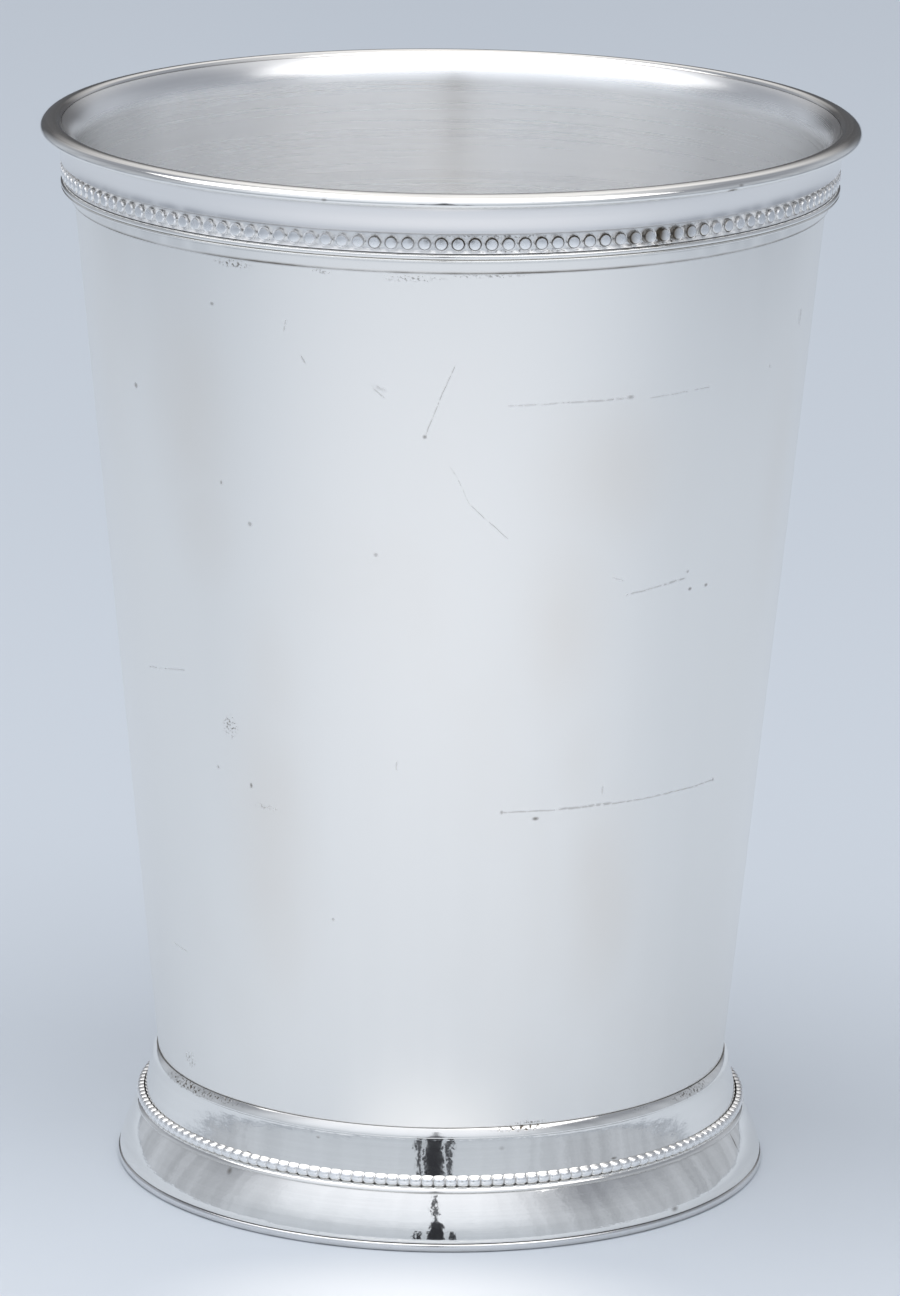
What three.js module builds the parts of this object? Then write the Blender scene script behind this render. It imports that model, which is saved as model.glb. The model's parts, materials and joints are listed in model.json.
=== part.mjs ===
// Julep cup in silver plate: a tapered tumbler with a rounded lip, a beaded border under the lip
// and a stepped, beaded foot. Millimetres, +Z up, origin in the middle of the foot's resting plane.

import * as THREE from 'three';

// Whole cup. A reach is how far the lip or the foot stands out from the body beside it.
const CUP_HEIGHT = 104;
const LIP_DIAMETER = 79;
const LIP_REACH = 3.35;
const FOOT_DIAMETER = 63.8;
const FOOT_REACH = 3.95;
const FOOT_HEIGHT = 11.2;
const WALL_THICKNESS = 0.8;
const SOLDER_GAP = 0.05;

// Floor of the cup, let in a little below the foot's top edge
const FLOOR_DROP = 1.0;
const FLOOR_THICKNESS = 1.0;
const WALL_BELOW_FLOOR = 1.0;
const FLOOR_FILLET = 0.7;

// Flared mouth of the wall
const FLARE_DEPTH = 2.95;
const FLARE_RADIUS = 3.4;
const FLARE_ANGLE = THREE.MathUtils.degToRad(58);

// Lip wire
const LIP_WIRE_HEIGHT = 1.28;
const LIP_CROWN_HEIGHT = 0.85;
const LIP_ROUND_WIDTH = 1.37;
const LIP_OVERHANG = 0.92;

// Border under the lip
const COVE_HEIGHT = 2.58;
const COVE_SWEEP = THREE.MathUtils.degToRad(60);
const BORDER_STAND = 1.0;
const RIM_BEAD_HEIGHT = 1.84;
const RIM_BEAD_PITCH = 1.55;
const RIM_BEAD_RELIEF = 0.5;
const MOULDING_HEIGHT = 0.77;
const MOULDING_GROOVE = 0.22;
const LOWER_REED_SHARE = 0.36;
const EDGE_BAND_HEIGHT = 1.14;
const EDGE_BAND_STAND = 0.33;

// Foot, from the top down
const FOOT_SHEET = 0.6;
const FOOT_TOP_WIRE_HEIGHT = 0.8;
const FOOT_TOP_WIRE_FLAT = 0.1;
const COLLAR_HEIGHT = 3.6;
const COLLAR_FLARE = 0.8;
const COLLAR_LAP = 1.0;
const FOOT_BEAD_HEIGHT = 0.8;
const FOOT_BEAD_STAND = 0.75;
const FOOT_BEAD_PITCH = 1.145;
const FOOT_BEAD_NOTCH = 0.22;
const FOOT_REED_HEIGHT = 0.5;
const FOOT_REED_STAND = 0.85;
const SKIRT_OVERHANG = 0.15;
const SKIRT_BULGE_POWER = 1.5;
const BASE_WIRE_HEIGHT = 0.8;
const BASE_WIRE_WIDTH = 1.3;
const BASE_WIRE_ROUND = 0.3;
const FOOT_FILLET_WIDTH = 0.217;

// Facets round the axis, and points along one rounded stretch of a section
const RING_SEGMENTS = 60;
const STEPS_PER_BEAD = 2;
const CURVE_POINTS = 4;

// Finish of the silver
const POLISHED = { color: 0xdfe2e6, roughness: 0.12, metalness: 1 };
const SATIN = { color: 0xdadde1, roughness: 0.3, metalness: 1 };
const FROSTED = { color: 0xd6d5d0, roughness: 0.4, metalness: 1 };
const SOLDER = { color: 0xb9b8b3, roughness: 0.5, metalness: 1 };

// Heights of the joints between the pieces
const floorTop = FOOT_HEIGHT - FLOOR_DROP;
const floorBottom = floorTop - FLOOR_THICKNESS;
const wallBottom = floorBottom - WALL_BELOW_FLOOR;
const flareStart = CUP_HEIGHT - FLARE_DEPTH;
const lipBottom = CUP_HEIGHT - LIP_WIRE_HEIGHT;
const coveBottom = lipBottom - SOLDER_GAP - COVE_HEIGHT;
const rimBeadTop = coveBottom - SOLDER_GAP;
const rimBeadBottom = rimBeadTop - RIM_BEAD_HEIGHT;
const mouldingTop = rimBeadBottom - SOLDER_GAP;
const mouldingBottom = mouldingTop - MOULDING_HEIGHT;
const edgeBandTop = mouldingBottom - SOLDER_GAP;
const edgeBandBottom = edgeBandTop - EDGE_BAND_HEIGHT;
const footTopWireBottom = FOOT_HEIGHT - FOOT_TOP_WIRE_HEIGHT;
const collarTop = footTopWireBottom - SOLDER_GAP;
const footBeadTop = collarTop - COLLAR_HEIGHT;
const footBeadBottom = footBeadTop - FOOT_BEAD_HEIGHT;
const footReedTop = footBeadBottom - SOLDER_GAP;
const footReedBottom = footReedTop - FOOT_REED_HEIGHT;
const skirtTop = footReedBottom - SOLDER_GAP;
const skirtBottom = BASE_WIRE_HEIGHT + SOLDER_GAP;

// The straight taper of the wall: its outer and inner radius at a height
const lipRadius = LIP_DIAMETER / 2;
const footRadius = FOOT_DIAMETER / 2;
const bodyTopRadius = lipRadius - LIP_REACH;
const bodyBottomRadius = footRadius - FOOT_REACH;
const taper = (bodyTopRadius - bodyBottomRadius) / (edgeBandBottom - FOOT_HEIGHT);
const taperAngle = Math.atan(taper);
const outerRadius = (z) => bodyBottomRadius + (z - FOOT_HEIGHT) * taper;
const innerRadius = (z) => outerRadius(z) - WALL_THICKNESS / Math.cos(taperAngle);

// The flare of the mouth: both faces of the wall are arcs round one centre outside the cup
const flareCentreRadius = innerRadius(flareStart) + FLARE_RADIUS * Math.cos(taperAngle);
const flareCentreHeight = flareStart - FLARE_RADIUS * Math.sin(taperAngle);

// Radii of the foot
const collarTopRadius = outerRadius(collarTop) + SOLDER_GAP + FOOT_SHEET;
const collarBottomRadius = collarTopRadius + COLLAR_FLARE;
const lapRadius = collarBottomRadius + SOLDER_GAP;
const skirtTopRadius = lapRadius + FOOT_SHEET;
const skirtBottomRadius = footRadius - SKIRT_OVERHANG;

// Points of a curve: place(t) for t from 0 to 1, both ends included
function along(place, count = CURVE_POINTS) {
  return Array.from({ length: count }, (_, i) => place(i / (count - 1)));
}

// Arc of the flare, a given distance from its centre, from the taper out to the flare's end
function flareArc(radius) {
  return along((t) => {
    const angle = taperAngle + (FLARE_ANGLE - taperAngle) * t;
    return [flareCentreRadius - radius * Math.cos(angle), flareCentreHeight + radius * Math.sin(angle)];
  });
}

// Arc of an ellipse round a centre, between two angles counted up from the outward direction
function ellipseArc(centre, width, height, from, to) {
  return along((t) => {
    const angle = from + (to - from) * t;
    return [centre[0] + width * Math.cos(angle), centre[1] + height * Math.sin(angle)];
  });
}

// Sheet that hangs down straight and spreads at its lower end, the spread growing as a square
function spreading(topRadius, topHeight, bottomRadius, bottomHeight) {
  return along((t) => [
    topRadius + (bottomRadius - topRadius) * t * t,
    topHeight + (bottomHeight - topHeight) * t,
  ]);
}

// Sheet that leans out at its top and turns straight down at its lower end: what is left of the
// spread falls as a power of what is left of the drop
function bulging(topRadius, topHeight, bottomRadius, bottomHeight) {
  return along((t) => [
    bottomRadius - (bottomRadius - topRadius) * (1 - t) ** SKIRT_BULGE_POWER,
    topHeight + (bottomHeight - topHeight) * t,
  ]);
}

// A piece of the cup: a closed section, outer side running up, turned round the cup's axis
function turned(name, section, finish) {
  const closed = [...section, section[0]].map(([r, z]) => new THREE.Vector2(r, z));
  const geometry = new THREE.LatheGeometry(closed, RING_SEGMENTS).rotateX(Math.PI / 2);
  return piece(name, geometry, finish);
}

// A solid disc: its edge runs from the lower to the upper corner, its faces reach the axis
function turnedDisc(name, lower, upper, finish) {
  const outline = [[0, lower[1]], lower, upper, [0, upper[1]]];
  const points = outline.map(([r, z]) => new THREE.Vector2(r, z));
  const geometry = new THREE.LatheGeometry(points, RING_SEGMENTS).rotateX(Math.PI / 2);
  return piece(name, geometry, finish);
}

// Beaded wire: one ring whose section swings between the crest of a bead and the notch beside it
function beaded(name, outerEdge, pitch, crest, notch, finish) {
  const beads = Math.round((2 * Math.PI * outerEdge) / pitch);
  const steps = beads * STEPS_PER_BEAD;
  const positions = [];
  const faces = [];
  for (let step = 0; step < steps; step++) {
    const angle = (2 * Math.PI * step) / steps;
    const section = step % STEPS_PER_BEAD === 0 ? crest : notch;
    for (const [r, z] of section) {
      positions.push(r * Math.cos(angle), r * Math.sin(angle), z);
    }
  }
  const corners = crest.length;
  for (let step = 0; step < steps; step++) {
    const here = step * corners;
    const next = ((step + 1) % steps) * corners;
    for (let corner = 0; corner < corners; corner++) {
      const after = (corner + 1) % corners;
      faces.push(here + corner, next + corner, here + after);
      faces.push(next + corner, next + after, here + after);
    }
  }
  const geometry = new THREE.BufferGeometry();
  geometry.setAttribute('position', new THREE.Float32BufferAttribute(positions, 3));
  geometry.setIndex(faces);
  geometry.computeVertexNormals();
  return piece(name, geometry, finish);
}

function piece(name, geometry, finish) {
  const mesh = new THREE.Mesh(geometry, new THREE.MeshStandardMaterial(finish));
  mesh.name = name;
  return mesh;
}

// Tumbler wall: tapered sheet, its mouth flared out to carry the lip
function tumblerWall() {
  const outer = flareArc(FLARE_RADIUS - WALL_THICKNESS);
  const inner = flareArc(FLARE_RADIUS).reverse();
  const outerFoot = [outerRadius(wallBottom), wallBottom];
  const innerFoot = [innerRadius(wallBottom), wallBottom];
  return turned('tumbler_wall', [outerFoot, ...outer, ...inner, innerFoot], SATIN);
}

// Floor disc let into the wall, and the fillet of solder under its edge
function floorDisc() {
  const lower = [innerRadius(floorBottom) - SOLDER_GAP, floorBottom];
  const upper = [innerRadius(floorTop) - SOLDER_GAP, floorTop];
  return turnedDisc('floor_disc', lower, upper, SATIN);
}

function floorSolder() {
  const top = floorBottom - SOLDER_GAP;
  const bottom = top - FLOOR_FILLET;
  const wallSideTop = innerRadius(top) - SOLDER_GAP;
  const wallSideBottom = innerRadius(bottom) - SOLDER_GAP;
  const section = [
    [wallSideBottom, bottom],
    [wallSideTop, top],
    [wallSideTop - FLOOR_FILLET, top],
  ];
  return turned('floor_solder_fillet', section, SOLDER);
}

// Lip wire: seated on the end of the flare, crowned on top, round outside, flat underneath
const lipWidest = CUP_HEIGHT - LIP_CROWN_HEIGHT;
const lipCrown = [lipRadius - LIP_ROUND_WIDTH, CUP_HEIGHT];
const lipCrease = [lipRadius - LIP_OVERHANG, lipBottom];

function flareEnd(radius) {
  const [r, z] = flareArc(radius).at(-1);
  return [r + SOLDER_GAP * Math.sin(FLARE_ANGLE), z + SOLDER_GAP * Math.cos(FLARE_ANGLE)];
}

function lipWire() {
  const seatTop = flareEnd(FLARE_RADIUS);
  const seatBottom = flareEnd(FLARE_RADIUS - WALL_THICKNESS);
  const under = ellipseArc([lipCrease[0], lipWidest], LIP_OVERHANG, lipWidest - lipBottom, -Math.PI / 2, 0);
  const crown = ellipseArc([lipCrown[0], lipWidest], LIP_ROUND_WIDTH, LIP_CROWN_HEIGHT, 0, Math.PI / 2);
  const rise = along((t) => {
    const reach = 1 - t;
    return [
      seatTop[0] + (lipCrown[0] - seatTop[0]) * reach,
      lipCrown[1] - (lipCrown[1] - seatTop[1]) * t * t,
    ];
  });
  const section = [seatBottom, ...under, ...crown.slice(1), ...rise.slice(1)];
  return turned('lip_wire', section, POLISHED);
}

// Cove band: hollow moulding that fills the angle between the wall and the lip
const coveFootRadius = outerRadius(coveBottom) + BORDER_STAND;

function coveBand() {
  const back = flareArc(FLARE_RADIUS - WALL_THICKNESS - SOLDER_GAP).reverse();
  const top = [lipCrease[0], lipCrease[1] - SOLDER_GAP];
  const hollow = along((t) => {
    const angle = COVE_SWEEP * t;
    return [
      coveFootRadius + ((top[0] - coveFootRadius) * (1 - Math.cos(angle))) / (1 - Math.cos(COVE_SWEEP)),
      coveBottom + ((top[1] - coveBottom) * Math.sin(angle)) / Math.sin(COVE_SWEEP),
    ];
  });
  const backFoot = [outerRadius(coveBottom) + SOLDER_GAP, coveBottom];
  return turned('rim_cove_band', [backFoot, ...hollow, ...back], POLISHED);
}

// Bead wire of the border: round beads that stand on a flat strip
function rimBeads() {
  const middle = (rimBeadTop + rimBeadBottom) / 2;
  const strip = coveFootRadius - RIM_BEAD_RELIEF;
  const section = (reach) => [
    [outerRadius(rimBeadBottom) + SOLDER_GAP, rimBeadBottom],
    [strip, rimBeadBottom],
    [reach, middle],
    [strip, rimBeadTop],
    [outerRadius(rimBeadTop) + SOLDER_GAP, rimBeadTop],
  ];
  const crest = section(coveFootRadius);
  const notch = section(strip);
  return beaded('rim_bead_wire', coveFootRadius, RIM_BEAD_PITCH, crest, notch, FROSTED);
}

// Moulding wire under the beads: two reeds side by side, the upper one larger
function mouldingWire() {
  const groove = mouldingBottom + MOULDING_HEIGHT * LOWER_REED_SHARE;
  const upperCentre = [coveFootRadius - MOULDING_GROOVE, (mouldingTop + groove) / 2];
  const lowerCentre = [upperCentre[0] - MOULDING_GROOVE, (groove + mouldingBottom) / 2];
  const reed = (centre, half) => ellipseArc(centre, MOULDING_GROOVE, half, -Math.PI / 2, Math.PI / 2);
  const section = [
    [outerRadius(mouldingBottom) + SOLDER_GAP, mouldingBottom],
    ...reed(lowerCentre, groove - lowerCentre[1]),
    ...reed(upperCentre, mouldingTop - upperCentre[1]),
    [outerRadius(mouldingTop) + SOLDER_GAP, mouldingTop],
  ];
  return turned('rim_moulding_wire', section, POLISHED);
}

// Edge band: thin flat strip that ends the border on the wall
function edgeBand() {
  const section = [
    [outerRadius(edgeBandBottom) + SOLDER_GAP, edgeBandBottom],
    [outerRadius(edgeBandBottom) + EDGE_BAND_STAND, edgeBandBottom],
    [outerRadius(edgeBandTop) + EDGE_BAND_STAND, edgeBandTop],
    [outerRadius(edgeBandTop) + SOLDER_GAP, edgeBandTop],
  ];
  return turned('rim_edge_band', section, POLISHED);
}

// Wire on the foot's top edge, rounded off towards the body
function footTopWire() {
  const seat = outerRadius(FOOT_HEIGHT) + SOLDER_GAP;
  const centre = [seat + FOOT_TOP_WIRE_FLAT, footTopWireBottom];
  const round = ellipseArc(centre, collarTopRadius - centre[0], FOOT_TOP_WIRE_HEIGHT, 0, Math.PI / 2);
  const section = [
    [outerRadius(footTopWireBottom) + SOLDER_GAP, footTopWireBottom],
    ...round,
    [seat, FOOT_HEIGHT],
  ];
  return turned('foot_top_wire', section, POLISHED);
}

// Collar of the foot: sheet that holds the body at its top and spreads to the bead wire,
// with a straight lap below that the beads, the reed and the skirt are soldered round
function footCollar() {
  const outer = spreading(collarTopRadius, collarTop, collarBottomRadius, footBeadTop).reverse();
  const inner = outer.map(([r, z]) => [r - FOOT_SHEET, z]).reverse();
  const lapBottom = skirtTop - COLLAR_LAP;
  const section = [
    [collarBottomRadius, lapBottom],
    ...outer,
    ...inner,
    [collarBottomRadius - FOOT_SHEET, lapBottom],
  ];
  return turned('foot_collar', section, POLISHED);
}

// Fillet of solder in the wedge between the body's lower end and the collar. At a depth h the wedge
// has opened by taper * h + spread * h^2: the fillet starts where that passes the gap beside it,
// and ends where it makes room for the fillet's width too.
function footSolder() {
  const spread = COLLAR_FLARE / COLLAR_HEIGHT ** 2;
  const halfTaper = taper / 2;
  const depthFor = (opening) => (Math.sqrt(halfTaper ** 2 + spread * opening) - halfTaper) / spread;
  const tip = depthFor(SOLDER_GAP);
  const base = depthFor(SOLDER_GAP + FOOT_FILLET_WIDTH);
  const collarSide = along((t) => {
    const depth = base + (tip - base) * t;
    return [outerRadius(collarTop) + spread * depth ** 2, collarTop - depth];
  });
  const wallSide = [outerRadius(collarTop - base) + SOLDER_GAP, collarTop - base];
  return turned('foot_solder_fillet', [wallSide, ...collarSide], SOLDER);
}

// Bead wire of the foot: close barrel beads with a narrow notch between them
function footBeads() {
  const reach = collarBottomRadius + FOOT_BEAD_STAND;
  const section = (edge) => [
    [lapRadius, footBeadBottom],
    [edge, footBeadBottom],
    [edge - FOOT_BEAD_NOTCH, footBeadTop],
    [lapRadius, footBeadTop],
  ];
  const crest = section(reach);
  const notch = section(reach - FOOT_BEAD_NOTCH);
  return beaded('foot_bead_wire', reach, FOOT_BEAD_PITCH, crest, notch, FROSTED);
}

// Plain reed under the foot's beads
function footReed() {
  const half = FOOT_REED_HEIGHT / 2;
  const centre = [collarBottomRadius + FOOT_REED_STAND - half, footReedBottom + half];
  const round = ellipseArc(centre, half, half, -Math.PI / 2, Math.PI / 2);
  const section = [[lapRadius, footReedBottom], ...round, [lapRadius, footReedTop]];
  return turned('foot_reed_wire', section, POLISHED);
}

// Skirt of the foot: bulging sheet from the reed down to the base wire
function footSkirt() {
  const outer = bulging(skirtTopRadius, skirtTop, skirtBottomRadius, skirtBottom).reverse();
  const inner = outer.map(([r, z]) => [r - FOOT_SHEET, z]).reverse();
  return turned('foot_skirt', [...outer, ...inner], POLISHED);
}

// Base wire: the ring that the cup stands on, flat underneath, with rounded outer edges
function baseWire() {
  const inside = footRadius - BASE_WIRE_WIDTH;
  const section = [
    [inside, 0],
    [footRadius - BASE_WIRE_ROUND, 0],
    [footRadius, BASE_WIRE_ROUND],
    [footRadius, BASE_WIRE_HEIGHT - SKIRT_OVERHANG],
    [skirtBottomRadius, BASE_WIRE_HEIGHT],
    [inside, BASE_WIRE_HEIGHT],
  ];
  return turned('foot_base_wire', section, POLISHED);
}

const body = new THREE.Group();
body.add(tumblerWall(), floorDisc(), floorSolder());

const rim = new THREE.Group();
rim.add(lipWire(), coveBand(), rimBeads(), mouldingWire(), edgeBand());

const foot = new THREE.Group();
foot.add(footTopWire(), footCollar(), footSolder(), footBeads(), footReed(), footSkirt(), baseWire());

const julepCup = new THREE.Group();
julepCup.add(body, rim, foot);

export default julepCup;
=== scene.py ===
# %% [markdown]
# # A julep cup in silver plate
#
# A julep cup is a straight, tapered tumbler of sheet silver with a strip of stamped border
# soldered round the mouth and a stepped foot soldered round the bottom. Every piece of it is
# round, so every piece here is one section carried round one upright axis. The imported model
# gives the place and the size of each piece. This script gives all but the solder a finer
# surface, and every piece a finish. Round them it sets the paper, the light and the camera of a
# plain table-top photograph.

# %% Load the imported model
import json
import math
from functools import reduce

import bpy
import numpy as np
from mathutils import Euler, Matrix, Vector

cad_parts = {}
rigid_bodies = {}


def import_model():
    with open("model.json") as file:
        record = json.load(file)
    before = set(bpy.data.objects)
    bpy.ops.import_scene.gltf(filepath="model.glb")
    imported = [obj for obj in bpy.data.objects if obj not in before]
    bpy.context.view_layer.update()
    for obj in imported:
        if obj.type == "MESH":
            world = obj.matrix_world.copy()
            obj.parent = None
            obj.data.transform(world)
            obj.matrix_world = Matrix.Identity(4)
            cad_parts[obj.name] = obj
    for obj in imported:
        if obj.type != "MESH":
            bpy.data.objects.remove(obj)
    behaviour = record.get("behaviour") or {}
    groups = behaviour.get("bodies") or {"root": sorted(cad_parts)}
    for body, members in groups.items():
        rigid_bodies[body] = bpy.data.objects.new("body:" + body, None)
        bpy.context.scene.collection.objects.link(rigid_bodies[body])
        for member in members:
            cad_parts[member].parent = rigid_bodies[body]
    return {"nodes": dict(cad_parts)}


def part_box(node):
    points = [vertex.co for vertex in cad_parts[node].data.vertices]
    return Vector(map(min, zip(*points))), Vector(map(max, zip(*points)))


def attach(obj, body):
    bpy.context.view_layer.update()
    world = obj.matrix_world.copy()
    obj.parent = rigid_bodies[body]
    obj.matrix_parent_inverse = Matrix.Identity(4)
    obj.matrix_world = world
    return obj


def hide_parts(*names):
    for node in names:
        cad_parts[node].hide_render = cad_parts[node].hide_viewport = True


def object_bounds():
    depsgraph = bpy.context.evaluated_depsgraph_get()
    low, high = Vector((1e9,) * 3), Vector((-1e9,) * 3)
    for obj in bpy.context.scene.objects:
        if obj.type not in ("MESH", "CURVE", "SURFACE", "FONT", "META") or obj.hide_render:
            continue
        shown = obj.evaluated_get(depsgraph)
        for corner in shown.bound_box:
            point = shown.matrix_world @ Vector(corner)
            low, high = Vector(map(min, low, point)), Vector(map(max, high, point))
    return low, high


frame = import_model()
MM = 0.001
cad_low, cad_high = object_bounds()
cup_height = cad_high.z
print("cup height in mm:", round(cup_height / MM, 2))


def ring(node):
    """Reach, bottom and top of a round CAD piece: its largest radius and its two end heights."""
    low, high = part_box(node)
    return high.x, low.z, high.z


for name in sorted(frame["nodes"]):
    reach, bottom, top = ring(name)
    print(f"{name}: radius {reach / MM:.2f}, from {bottom / MM:.2f} to {top / MM:.2f} mm")

# %% [markdown]
# ## The camera
#
# The rings of the cup appear as ellipses in the photograph, and how flat each one is tells how
# high the camera stood above it. One camera fits them all: it stands about three quarters of a
# metre away, a little over twice the cup's height up, and looks down by some fourteen degrees.
# It was held a touch off level, so the picture is turned by about two thirds of a degree.

# %% Place the camera
PHOTO_HEIGHT = 1296
FOCAL_LENGTH_PIXELS = 7815
SENSOR_WIDTH = 36.0
CAMERA_DISTANCE = 740.0 * MM
CAMERA_HEIGHT = 240.6 * MM
CAMERA_PITCH = math.radians(14.34)
CAMERA_TURN = math.radians(0.036)
CAMERA_ROLL = math.radians(0.66)

camera_data = bpy.data.cameras.new("camera")
camera_data.sensor_width = SENSOR_WIDTH
camera_data.lens = SENSOR_WIDTH * FOCAL_LENGTH_PIXELS / PHOTO_HEIGHT
camera = bpy.data.objects.new("camera", camera_data)
bpy.context.scene.collection.objects.link(camera)
level = Matrix.Translation((0, -CAMERA_DISTANCE, CAMERA_HEIGHT))
turned = Matrix.Rotation(-CAMERA_TURN, 4, "Z")
tilted = Euler((math.pi / 2 - CAMERA_PITCH, 0, 0)).to_matrix().to_4x4()
camera.matrix_world = level @ turned @ tilted @ Matrix.Rotation(CAMERA_ROLL, 4, "Z")
bpy.context.scene.camera = camera
bpy.context.scene.view_settings.view_transform = "Standard"
print("lens in mm:", round(camera_data.lens, 1))

# %% [markdown]
# ## Small tools for materials
#
# A finish is a network of shader nodes. Written out in full, each node takes several lines, so
# two short helpers come first: one adds a node with its settings and its inputs, and one starts
# a material. The others wrap what silver needs: noise that can be stretched into streaks, a soft
# step that turns a number into a mask, a mix of two colours, distances, and bare metal itself.

# %% Node helpers


def shader(tree, kind, inputs=None, **settings):
    """Adds a node. An input is a plain value, or the output socket of another node."""
    made = tree.nodes.new(kind)
    for key, value in settings.items():
        setattr(made, key, value)
    for key, value in (inputs or {}).items():
        if isinstance(value, bpy.types.NodeSocket):
            tree.links.new(value, made.inputs[key])
        else:
            made.inputs[key].default_value = value
    return made


def new_material(name):
    """An empty node material and its tree."""
    material = bpy.data.materials.new(name)
    material.use_nodes = True
    material.node_tree.nodes.clear()
    return material, material.node_tree


def stretched_noise(tree, place, scale, detail=3.0, roughness=0.55):
    """Noise from 0 to 1 on a place, whose cells are 1 / scale long along each axis."""
    mapped = shader(tree, "ShaderNodeMapping", {"Vector": place, "Scale": scale})
    made = shader(
        tree,
        "ShaderNodeTexNoise",
        {"Vector": mapped.outputs["Vector"], "Scale": 1.0, "Detail": detail, "Roughness": roughness},
    )
    return made.outputs["Fac"]


def soft_step(tree, value, start, end, low=0.0, high=1.0):
    """Runs smoothly from low to high as the value goes from start to end, and is level outside."""
    made = shader(
        tree,
        "ShaderNodeMapRange",
        {"Value": value, "From Min": start, "From Max": end, "To Min": low, "To Max": high},
        interpolation_type="SMOOTHSTEP",
    )
    return made.outputs["Result"]


def level_range(tree, value, low, high):
    """Spreads a value from 0..1 to low..high."""
    made = shader(tree, "ShaderNodeMapRange", {"Value": value, "To Min": low, "To Max": high})
    return made.outputs["Result"]


def calculate(tree, operation, *values):
    """One sum on one to three numbers."""
    inputs = dict(enumerate(values))
    return shader(tree, "ShaderNodeMath", inputs, operation=operation).outputs["Value"]


def product(tree, *masks):
    """All the masks multiplied together."""
    return reduce(lambda one, other: calculate(tree, "MULTIPLY", one, other), masks)


def strongest(tree, masks):
    """The highest of several masks at each place."""
    return reduce(lambda one, other: calculate(tree, "MAXIMUM", one, other), masks)


def mix_colours(tree, mask, first, second):
    """The first colour where the mask is 0 and the second where it is 1."""
    made = tree.nodes.new("ShaderNodeMix")
    made.data_type = "RGBA"
    for name, value in (("Factor_Float", mask), ("A_Color", first), ("B_Color", second)):
        socket = next(s for s in made.inputs if s.identifier == name)
        if isinstance(value, bpy.types.NodeSocket):
            tree.links.new(value, socket)
        elif name == "Factor_Float":
            socket.default_value = value
        else:
            socket.default_value = (*value, 1.0)
    return next(s for s in made.outputs if s.identifier == "Result_Color")


def noise_mask(tree, place, scale, edges, detail=3.0, low=0.0):
    """Noise cut to a mask: it runs from low to 1 as the noise goes from one edge to the other."""
    return soft_step(tree, stretched_noise(tree, place, scale, detail), *edges, low)


def direction(tree, place):
    """A place brought to length 1, which leaves only its direction."""
    return shader(tree, "ShaderNodeVectorMath", {0: place}, operation="NORMALIZE").outputs["Vector"]


def dot_product(tree, place, way):
    """The dot product of a place with a fixed direction."""
    inputs = {0: place, 1: way}
    return shader(tree, "ShaderNodeVectorMath", inputs, operation="DOT_PRODUCT").outputs["Value"]


def from_centre(tree, place, centre, size):
    """How far a place is from the middle of an ellipse: 0 there and 1 on the ellipse's edge."""
    inputs = {"Vector": place, "Location": (*centre, 0.0), "Scale": (*size, 1.0)}
    mapped = shader(tree, "ShaderNodeMapping", inputs, vector_type="TEXTURE").outputs["Vector"]
    return shader(tree, "ShaderNodeVectorMath", {0: mapped}, operation="LENGTH").outputs["Value"]


def output(tree, surface):
    """Ends a tree with its surface."""
    shader(tree, "ShaderNodeOutputMaterial", {"Surface": surface})


def metal(tree, colour, roughness, height, depth, strength=1.0, more=None):
    """Ends a tree with bare metal, whose bump has its height in units of the depth."""
    relief = {"Height": height, "Strength": strength, "Distance": depth}
    normal = shader(tree, "ShaderNodeBump", relief).outputs["Normal"]
    inputs = {"Base Color": colour, "Metallic": 1.0, "Roughness": roughness, "Normal": normal}
    inputs.update(more or {})
    output(tree, shader(tree, "ShaderNodeBsdfPrincipled", inputs).outputs["BSDF"])


print("node helpers ready")

# %% [markdown]
# ## Marks on an unrolled surface
#
# Wear isn't even: a scratch, a scuff or a brown blotch lies at one place. Every piece is round,
# so a place on it is an angle from the front and a height. Unrolled like a label, the surface is
# a flat map in millimetres, and a mark on it is a soft ellipse or a soft line. Distances across
# and along a line are dot products with its direction.

# %% Mark helpers


def ellipse(tree, unrolled, reach, place):
    """Fades from its depth in the middle of an upright ellipse to 0 at the edge.
    A place is the angle in degrees, the height, half width and half height in mm, and the depth."""
    angle, height, wide, tall, depth = place
    centre = (math.radians(angle) * reach / MM, height)
    return soft_step(tree, from_centre(tree, unrolled, centre, (wide, tall)), 1.0, 0.0, 0.0, depth)


def scratch(tree, unrolled, reach, wobble, line):
    """Fades from its depth on a line to 0 at its width to either side, and stops at both ends.
    A line is the angle and height of each end, the width in mm and the depth."""
    first_angle, first_height, last_angle, last_height, width, depth = line
    start = np.array([math.radians(first_angle) * reach / MM, first_height])
    run = np.array([math.radians(last_angle) * reach / MM, last_height]) - start
    length = float(np.linalg.norm(run))
    way = run / length

    def measured(along):
        run_to = dot_product(tree, unrolled, (*along, 0.0))
        return calculate(tree, "SUBTRACT", run_to, float(start @ along))

    forward = measured(way)
    sideways = calculate(tree, "ADD", measured(np.array([-way[1], way[0]])), wobble)
    near = soft_step(tree, calculate(tree, "ABSOLUTE", sideways), width, 0.0, 0.0, depth)
    begun = soft_step(tree, forward, -width, 3 * width)
    unended = soft_step(tree, forward, length + width, length - 3 * width)
    return product(tree, near, begun, unended)


print("mark helpers ready")
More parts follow.
